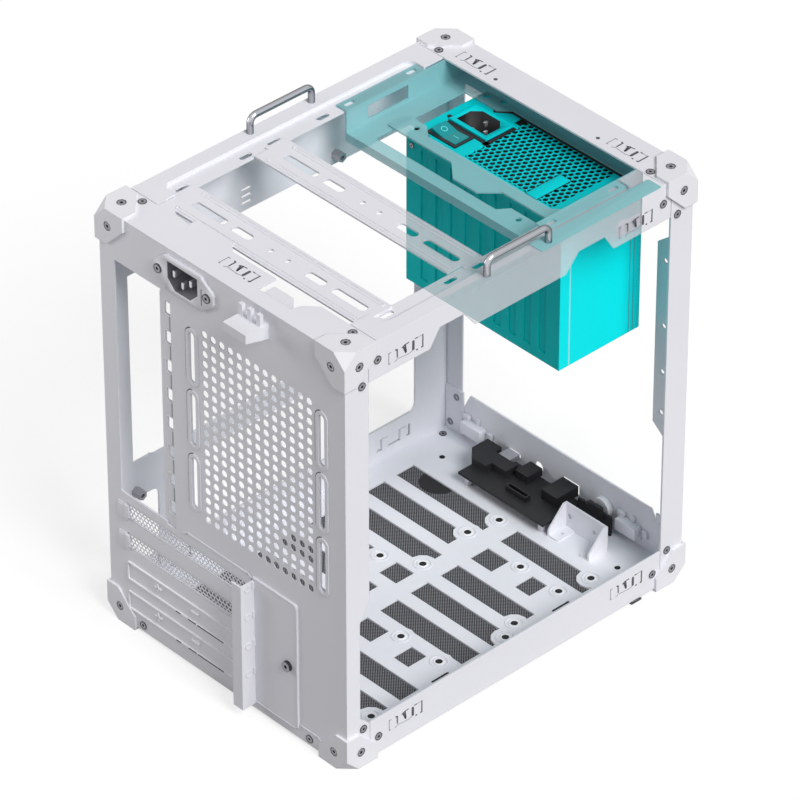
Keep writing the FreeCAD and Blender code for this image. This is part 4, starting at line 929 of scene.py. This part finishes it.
def make_cover_marks():
    """Pressed outlines and signs in a whiter paint for a painted highlight, and the dark gaps beside the
    two plain covers.
    """
    pale, dark = [], []
    for low_edge in COVER_LOW[:2]:
        outline = rim(106.2, 12.8, 0.8, 0.85, 1.0)
        pale.append(put(outline, "rear", COVER_MIDDLE, REAR_FACE, low_edge + COVER_HALF))
        for across, up in ((-57.8, 7.3), (12.5, 5.6)):
            for turn in (0, 90):
                pale.append(put(sign_bar(2.6), "rear", across, REAR_FACE, low_edge + up, turn))
        pale.append(put(sign_bar(2.8), "rear", -26.4, REAR_FACE, low_edge + 7.2))
        for start, end in ((-42, -38.5), (-31.5, -25.5), (-23.5, -2)):
            gap = pressed_line([(start, 0), (end, 0)], 0.7, 0.12, gap_and_shadow_dark)
            dark.append(put(gap, "rear", 0, REAR_FACE - 0.98, low_edge - 0.05))
    keep(coat_all(joined(pale), white_glint), "cover_outlines")
    keep(joined(dark), "cover_gaps")


FOLDS = {
    "recess_fold": ([(-34.5, 93.6), (-31.5, 95.2), (19, 95.2), (22.5, 93.2), (22.5, 90)], 1.3, 0.45, 0.2),
    "lower_fold": ([(61.5, 11.6), (75.5, 11.6), (78.6, 9.6), (78.6, 6.0)], 0.9, 0.4, 0.18),
}


def make_folds():
    """The panel's long fold above the card slots, and the short one at its lower right."""
    for name, (points, width, height, rolled) in FOLDS.items():
        fold = pressed_line(points, width, height, white_paint)
        soften(fold, rolled)
        keep(put(fold, "rear", 0, REAR_FACE, 0), name)


def make_clamp_bumps():
    """The clamp shelf's four sprung domes, each with a small flat tab beside it."""
    shelf = 25.2
    pieces = []
    for up in (90.7, 70.9, 50.5, 30.6):
        dome = coin(2.5, 0.35, 20)
        pick(dome, faces_up)
        bpy.ops.mesh.inset(thickness=0.7 * MM, depth=0.2 * MM)
        bpy.ops.mesh.inset(thickness=0.5 * MM, depth=-0.3 * MM)
        leave_edit()
        soften(dome, 0.15)
        pieces.append(put(dome, "right", shelf, -137.9, up))
        pieces.append(put(slab(2.2, 5.4, 0.5, 0.5, 0.2), "right", shelf, -133.6, up + 0.4))
    keep(coat_all(joined(pieces), white_paint), "clamp_bumps")


def make_clamp_edge():
    """The clamp plate's rolled edge."""
    edge = rim(36.6, 88.0, 3.0, 0.8, 0.3)
    keep(put(edge, "rear", 42.2, CLAMP_FACE, 52.0), "clamp_plate_edge")


def make_strip_frames():
    """Round each window of the socket strip a frame with a painted highlight, and between the windows
    painted shading of the steps: a pale plate and a grey one along its right side.
    """
    frames, steps = [], []
    for number in range(WINDOWS):
        up = WINDOW_LOW + WINDOW_PITCH * number
        frames.append(put(rim(6.2, 9.4, 0.8, 0.55, 0.5), "rear", -44.7, STRIP_FACE, up))
        if number < WINDOWS - 1:
            between = up + WINDOW_PITCH / 2
            # Painted shading of the step between two windows: a pale plate, and a grey one where the step
            # lies in shade
            step = coat_all(slab(6.0, 9.6, 0.3, 0.12), clip_white)
            steps.append(put(step, "rear", -44.4, STRIP_FACE, between))
            shade = coat_all(slab(2.6, 9.6, 0.3, 0.12), pale_gap_and_shade)
            steps.append(put(shade, "rear", -42.6, STRIP_FACE - 0.05, between))
    keep(coat_all(joined(frames), white_glint), "strip_window_frames")
    keep(joined(steps), "strip_step_shading")


# Mains inlet in the rear panel

def make_rear_inlet():
    """The inlet's housing, with painted shade inside its recess, and a painted shadow line for the step
    beside it.
    """
    def in_recess(middle, normal):
        beside = abs(middle.x - INLET_X * MM) < 12.3 * MM
        level = abs(middle.z - INLET_Z * MM) < 8.6 * MM
        return beside and level and -133.6 * MM < middle.y < -115.0 * MM

    inlet = coat_all(copy_of_node("rear_inlet"), inlet_grey)
    add_finish(inlet, inlet_recess_shade, in_recess)
    shade_soft(inlet)
    keep(inlet, "inlet_housing", covers=("rear_inlet",))
    # A painted shadow line for the step beside the inlet
    line = pressed_line([(-5.2, 0), (5.2, 0)], 0.6, 0.1, shadow_grey)
    put(line, "rear", INLET_X + 15.4, INLET_FACE, 267.2, 90)
    keep(line, "inlet_step_shadow")


def make_inlet_pins():
    """Three flat pins, the middle one lower."""
    pins = []
    for across, up in ((-35.6, 270.9), (-28.6, 266.4), (-22.0, 270.9)):
        pin = slab(1.9, 4.2, 0.4, 12.0, 0.25, steps=2)
        pins.append(put(pin, "rear", across, -121.4, up))
    pins = coat_all(joined(pins), bright_pin)
    keep(pins, "inlet_pins", covers=("rear_inlet_pins",))


# Board side and the power supply's bracket

def make_board_wall():
    """The wall, whose upper window reaches further back than its solid's."""
    wall = copy_of_node("board_wall")
    carve(wall, block_cutter((-102, -115.6, 100.9), (-95.5, -103.4, 230.1)))
    shade_plain(coat_all(wall, white_paint))
    keep(wall, "wall_sheet", covers=("board_wall",))


def make_bracket_lip():
    """The bracket's flange that lies on the right top rail."""
    lip = coat_all(slab(10.6, 92.0, 1.2, 0.4, 0.12), bracket_glazed)
    keep(put(lip, "up", 94.9, 60.0, TOP_FACE + 0.05), "bracket_lip")


# Power supply: perforated lid over a dark pocket, painted shade on its top and rear-facing side, seams
# with one painted highlight, painted shadows, inlet, screws and rocker signs

def make_supply():
    """The case with its pocket, and the perforated sheet over it."""
    pocket = block_cutter((-22, 66, LID - 1.3), (55, 117, LID + 0.5))
    carve(pocket, block_cutter((-50, 60, LID - 4), (-16, 110, LID + 4)))
    housing = copy_of_node("psu_housing")
    carve(housing, pocket)
    coat_all(housing, unit_paint)
    add_finish(housing, socket_black, lambda middle, normal: faces_up(middle, normal)
               and (LID - 1.4) * MM < middle.z < (LID - 0.2) * MM)
    # Painted shade: darker copies of the teal paint on the rear-facing side and on the top
    add_finish(housing, unit_shaded_front, lambda middle, normal: middle.y < 61 * MM)
    add_finish(housing, unit_shaded_top, lambda middle, normal: faces_up(middle, normal)
               and middle.z > (LID - 0.2) * MM)
    shade_plain(housing)
    keep(housing, "supply_case", covers=("psu_housing",))
    lid = honeycomb(71.0, 51.0, 4.0, 0.85, 0.6, round_holes=True)
    put(coat_all(lid, unit_shaded_top), "up", 19.5, 91.5, LID - 0.6)
    keep(lid, "supply_lid")


SUPPLY_SEAMS = ((66.2, 1.0, seam_highlight), (113.4, 0.7, seam_grey), (116.6, 0.7, seam_grey))


def make_supply_details():
    """A small plate with its gap on the lid, two screws, and the seams of the right side, the first seam
    a painted highlight.
    """
    across, along = 39.0, 78.6
    panel = coat_all(slab(8.4, 27.0, 0.4, 0.35, 0.12), unit_shaded_top)
    keep(put(panel, "up", across, along, LID - 0.02), "supply_plate")
    border = flat_plate(9.4, 28.0, 0.4)
    hollow(border, 0.5)
    thicken(border, 0.12)
    coat_all(border, gap_and_shadow_dark)
    keep(put(border, "up", across, along, LID), "supply_plate_gap")
    screws = [
        put(screw_head(1.5, 0.3), "up", -50.5, 88.0, LID),
        put(screw_head(1.9, 0.5), "rear", -50.5, 58.5, 260.5),
    ]
    keep(joined(screws), "supply_screws")
    seams = []
    for along, width, material in SUPPLY_SEAMS:
        seam = coat_all(slab(width, 99.0, 0.2, 0.15), material)
        seams.append(put(seam, "right", 70.0, along, 216.8))
    keep(joined(seams), "supply_seams")


def make_supply_shadow_gaps():
    """Painted shadow between the lid and the bracket's opening."""
    runs = [
        [(-54, 65.4), (-46, 65.4), (-40, 62.0), (60, 62.0), (68, 66)],
        [(-36.5, 110.2), (-29, 116.6), (68.5, 116.6)],
    ]
    gaps = joined([pressed_line(line, 2.6, 0.12, gap_and_shadow_dark) for line in runs])
    keep(put(gaps, "up", 0, 0, LID + 0.02), "supply_shadow_gaps")


def set_on_rocker(piece, across, slope):
    """Stand a sign on one slope of the rocker, as it rests."""
    pivot = Matrix.Translation(Vector((-36, 74.5, LID)) * MM) @ Matrix.Rotation(math.radians(6), 4, "Y")
    up = 1.0 + 1.4 * abs(across) / 9.5
    place = Matrix.Translation(Vector((across, 0, up)) * MM)
    take(piece)
    piece.matrix_world = pivot @ place @ Matrix.Rotation(math.radians(slope), 4, "Y")
    settle()
    return piece


def make_rocker_signs():
    """A ring and a bar, raised on the rocker's two slopes."""
    ring = flat_disc(2.0, 28)
    hollow(ring, 0.45)
    thicken(ring, 0.25)
    bar = slab(4.2, 0.55, 0.2, 0.25)
    signs = joined([set_on_rocker(ring, -5.0, 8.4), set_on_rocker(bar, 4.6, -8.4)])
    keep(coat_all(signs, sign_teal), "rocker_signs", body="psu_rocker")


def make_supply_inlet():
    """The supply's inlet, black inside its mouth, with a painted shadow along two of its edges."""
    def in_mouth(middle, normal):
        beside = abs(middle.x + 33 * MM) < 12.2 * MM and abs(middle.y - 96 * MM) < 8.2 * MM
        return beside and middle.z < (LID + 1.1) * MM

    bezel = coat_all(copy_of_node("psu_inlet"), unit_shaded_top)
    add_finish(bezel, socket_black, in_mouth)
    shade_soft(bezel)
    keep(bezel, "supply_inlet", covers=("psu_inlet",))
    gaps = []
    # Painted shadow along two edges of the inlet's bezel
    for wide, high, across, along in ((3.2, 25.0, -16.2, 93.9), (34.0, 3.0, -31.0, 83.7)):
        gaps.append(put(slab(wide, high, 0.5, 0.15), "up", across, along, LID))
    keep(coat_all(joined(gaps), gap_and_shadow_dark), "supply_inlet_shadow")


def make_supply_pins():
    """The three pins of the supply's inlet: two in sight, the third behind the rim."""
    pins = []
    for across, along in ((-33.3, 89.1), (-26.2, 92.7), (-33.0, 99.4)):
        pin = slab(1.6, 2.6, 0.3, 3.0, 0.2, steps=2)
        pins.append(put(pin, "up", across, along, LID - 3.4))
    pins = coat_all(joined(pins), bright_pin)
    keep(pins, "supply_pins", covers=("psu_inlet_pins",))


# Snap clips: two square tongues, and a keyhole and a slot between them, drawn by their slits

CLIP_SLITS = [
    ([(-11.3, 3.5), (-12.7, 3.5), (-12.7, -3.6), (-11.8, -3.6)], 0.55, pale_gap_and_shade),
    ([(-7.7, 3.4), (-6.6, 3.1), (-6.5, -1.7)], 0.8, gap_grey),
    ([(-8.4, -4.0), (-7.4, -3.7), (-6.4, -2.9), (-3.0, -3.3), (1.9, -3.7), (4.6, -3.1)], 0.4, pale_gap_and_shade),
    ([(-3.0, 2.6), (-1.2, 3.5), (1.9, 3.8)], 0.6, gap_grey),
    ([(-1.9, 2.5), (-0.2, -1.6)], 1.2, gap_grey),
    ([(-0.6, 3.2), (-0.1, -1.2)], 1.0, gap_grey),
    ([(5.3, 2.6), (5.3, -2.2)], 1.7, gap_grey),
    ([(6.8, 3.9), (8.3, 3.9)], 0.6, gap_grey),
    ([(8.3, 3.9), (11.8, 3.9)], 0.3, pale_gap_and_shade),
    ([(12.3, 4.0), (12.3, -3.8), (11.4, -3.9)], 0.8, gap_grey),
    ([(7.7, -3.9), (8.3, -3.9)], 0.8, gap_grey),
]


def make_clips():
    """The clip pattern on the rails, the posts and the beams, and two holes in the front beam."""
    places = []
    for side in SIDES:
        for along in (-87, 87):
            for up in (268.5, 16.4):
                places.append((side_name(side), side * SIDE_FACE, along, up))
        places.append(("up", side * 61, 118.2, TOP_FACE))
    places.append(("up", 0, -117, TOP_FACE))
    pattern = joined([pressed_line(line, width, 0.14, finish) for line, width, finish in CLIP_SLITS])
    keep(joined(put_copies(pattern, places)), "clip_slits")
    holes = [put(coin(1.2, 0.12, 14), "up", side * 41.2, 114.8, TOP_FACE) for side in SIDES]
    keep(coat_all(joined(holes), gap_grey), "beam_holes")


# Each block's plate: width, height, corner, thickness, rolled edge, corner steps, and its place
BLOCK_PLATES = (
    ((16.5, 8.2, 0.8, 6.0, 0.4, 2), 0.0, 15.4),
    ((5.0, 3.4, 0.6, 2.6, 0.3, 2), -7.2, 21.0),
    ((4.4, 5.6, 0.6, 1.6, 0.3, 2), 11.6, 15.4),
    ((3.6, 4.4, 1.6, 1.2, 0.3, 5), 1.6, 21.6),
)


def make_clip_blocks():
    """The white spring blocks behind the front clips, inside the tray."""
    blocks = []
    for across in (-70.0, 60.5):
        for sizes, aside, up in BLOCK_PLATES:
            blocks.append(put(slab(*sizes), "rear", across + aside, 130.5, up))
    keep(coat_all(joined(blocks), clip_white), "inner_clip_blocks")


def make_joint_lines():
    """Thin shadow lines where caps, rails and posts meet."""
    lines = []
    for side in SIDES:
        face = side * (SIDE_FACE + 0.01)
        for end in SIDES:
            rail_end = pressed_line([(0, -11), (0, 11)], 0.35, 0.05, pale_gap_and_shade)
            lines.append(put(rail_end, side_name(side), face, end * 114.4, 272.0))
            dot = coat_all(coin(0.9, 0.08, 12), gap_grey)
            lines.append(put(dot, side_name(side), face, end * 114.4, 282.2))
            foot = pressed_line([(0, -3.5), (0, 3.5)], 0.9, 0.06, gap_grey)
            lines.append(put(foot, side_name(side), face, end * 114.6, 6.4))
    keep(joined(lines), "joint_lines")


# Floor: raised rings round each boss hole, the covers' tabs, slits, and screws inside the walls

BOSSES = (
    (-5.95, 87.4), (70.65, 87.4), (-5.95, 25.68), (70.65, 25.68), (34.9, 65.2), (66.65, 65.2),
    (34.9, -30.05), (66.65, -30.05), (-10.1, 65.7), (-28.8, 13), (76.5, 13), (-28.8, -92), (76.5, -92),
)


def floor_ring(radius, corners, band, height, rolled, material):
    """A raised ring with rolled edges."""
    ring = flat_disc(radius, corners)
    hollow(ring, band)
    thicken(ring, height)
    soften(ring, rolled)
    return coat_all(ring, material)


def make_floor_rings():
    """A narrow ring with a painted highlight and a wide ring round each boss hole, and a black disc of
    painted shade for the depth of the hole.
    """
    ring = floor_ring(3.4, 24, 1.2, 0.45, 0.2, white_glint)
    wide_ring = floor_ring(5.7, 32, 1.1, 0.4, 0.19, white_paint)
    places = [("up", across, along, FLOOR_FACE) for across, along in BOSSES]
    rings = joined(put_copies(ring, places) + put_copies(wide_ring, places))
    keep(rings, "floor_hole_rings")
    # A black disc of painted shade where the hole's depth lies in shadow
    hole_shade = coat_all(coin(2.1, 0.25, 20), socket_black)
    places = [("up", across, along, FLOOR_FACE - 0.05) for across, along in BOSSES]
    keep(joined(put_copies(hole_shade, places)), "floor_hole_shadows")


def make_cover_tabs():
    """The folded ends by which the two perforated covers hook into the rear panel."""
    tabs = []
    for up in (80.3, 59.2):
        tab = slab(7.6, 10.6, 0.5, 0.9, 0.25, steps=2)
        tabs.append(put(tab, "rear", -87.3, REAR_FACE, up))
    keep(coat_all(joined(tabs), white_paint), "cover_tabs")


def make_foot_glimpse():
    """The disc over a foot, which shows dark in the dust filter's far corner."""
    disc = coat_all(coin(12.0, 0.15, 32), foot_rubber)
    keep(put(disc, "up", -58.5, 88.5, FILTER_TOP - 0.02), "foot_disc")


def make_floor_screws():
    """Heads at the tray's front corners and inside its walls."""
    corners = [("up", side * 90.6, 122.2, FLOOR_FACE) for side in SIDES]
    walls = [("rear", side * 91.9, 130.6, 9.9) for side in SIDES]
    walls += [("rear", side * 86.6, 130.6, 30.4) for side in SIDES]
    walls += [(side_name(-side), side * 98.4, 122.7, 11.6) for side in SIDES]
    heads = put_copies(screw_head(2.3, 0.5), corners) + put_copies(screw_head(2.3, 1.6), walls)
    keep(joined(heads), "inner_screw_heads")


def make_floor_slits():
    """Two slim slits and two small holes in the tray."""
    cuts = []
    for low_end, high_end in ((-46.1, -32.9), (49.5, 63.1)):
        slit = slab(1.3, high_end - low_end, 0.6, 0.1)
        cuts.append(put(slit, "up", 77.5, (low_end + high_end) / 2, FLOOR_FACE))
    for side in SIDES:
        cuts.append(put(coin(1.8, 0.1, 18), "up", side * 74, 105.8, FLOOR_FACE))
    keep(coat_all(joined(cuts), socket_black), "floor_slits")


def make_rail_beads():
    """Beads pressed along the two fan rails; the second rail is see-through over the supply."""
    for number, along, finish in ((1, -91.4, white_paint), (2, -23.4, white_over_supply)):
        beads = []
        for side in SIDES:
            bead = rim(147.0, 3.2, 1.6, 0.9, 0.35)
            beads.append(put(bead, "up", 3.5, along + side * 9.6, 283.0))
        keep(coat_all(joined(beads), finish), f"fan_rail_beads_{number}")


make_cap_screws()
make_frame_screws()
make_fitting_screws()
for side in SIDES:
    make_handle(side)
make_rear_panel()
make_socket_strip()
make_slot_rims()
for number in (3, 4):
    make_mesh_cover(number)
make_cover_marks()
make_folds()
make_clamp_bumps()
make_clamp_edge()
make_strip_frames()
make_rear_inlet()
make_inlet_pins()
make_board_wall()
make_bracket_lip()
make_supply()
make_supply_details()
make_supply_shadow_gaps()
make_rocker_signs()
make_supply_inlet()
make_supply_pins()
make_clips()
make_clip_blocks()
make_joint_lines()
make_cover_tabs()
make_floor_rings()
make_foot_glimpse()
make_floor_screws()
make_floor_slits()
make_rail_beads()


# Studio: white ground, even light from all round, one large soft lamp and a small fill lamp

AMBIENT = 0.24
LAMP_STRENGTH = 2.65
LAMP_SPREAD = 32
LAMP_FROM = Vector((0.72, -0.05, 0.69))
FILL_POWER = 0.95
FILL_SIZE = 0.3
FILL_FROM = Vector((-0.5, -0.45, 0.35))
FILL_TO = Vector((-0.12, -0.13, 0.18))
FLOOR_SIZE = 12
FLOOR_GREY = (0.36, 0.36, 0.36, 1)
FLOOR_GLOW = 0.7


def seen_directly(tree):
    """1 for rays that come from the camera, or from it by a mirror or through glass."""
    path = add_node(tree, "ShaderNodeLightPath")
    either = maths(tree, "MAXIMUM", path.outputs["Is Camera Ray"], path.outputs["Is Glossy Ray"])
    return maths(tree, "MAXIMUM", either, path.outputs["Is Transmission Ray"])


def make_world():
    world = bpy.data.worlds.new("studio")
    world.use_nodes = True
    tree = world.node_tree
    backdrop = tree.nodes["Background"]
    backdrop.inputs["Color"].default_value = WHITE
    strength = scaled_range(tree, seen_directly(tree), 0.0, 1.0, AMBIENT, 1.0)
    feed(tree, backdrop.inputs["Strength"], strength)
    bpy.context.scene.world = world


def add_lamp(name, kind, energy, direction):
    """A lamp that shines from this direction."""
    data = bpy.data.lights.new(name, kind)
    data.energy = energy
    lamp = bpy.data.objects.new(name, data)
    bpy.context.scene.collection.objects.link(lamp)
    lamp.rotation_euler = direction.to_track_quat("Z", "Y").to_euler()
    return lamp


def make_lamps():
    """The large soft lamp, and the fill that lifts the upper left of the rear panel."""
    soft = add_lamp("soft_lamp", "SUN", LAMP_STRENGTH, LAMP_FROM)
    soft.data.angle = math.radians(LAMP_SPREAD)
    fill = add_lamp("fill_panel", "AREA", FILL_POWER, FILL_FROM - FILL_TO)
    fill.data.size = FILL_SIZE
    fill.location = FILL_FROM


def make_floor():
    """A white floor that keeps the object's shadow."""
    take()
    bpy.ops.mesh.primitive_plane_add(size=FLOOR_SIZE, location=(0, 0, -0.05 * MM))
    floor = bpy.context.object
    floor.name = "floor"
    material, tree, shader = new_material("floor_white")
    tree.nodes.remove(shader)
    matt = add_node(tree, "ShaderNodeBsdfDiffuse")
    matt.inputs["Color"].default_value = FLOOR_GREY
    glow = add_node(tree, "ShaderNodeEmission")
    strength = maths(tree, "MULTIPLY", seen_directly(tree), FLOOR_GLOW)
    feed(tree, glow.inputs["Strength"], strength)
    both = add_node(tree, "ShaderNodeAddShader")
    feed(tree, both.inputs[0], matt.outputs[0])
    feed(tree, both.inputs[1], glow.outputs[0])
    feed(tree, tree.nodes["Material Output"].inputs["Surface"], both.outputs[0])
    floor.data.materials.append(material)


make_world()
make_lamps()
make_floor()
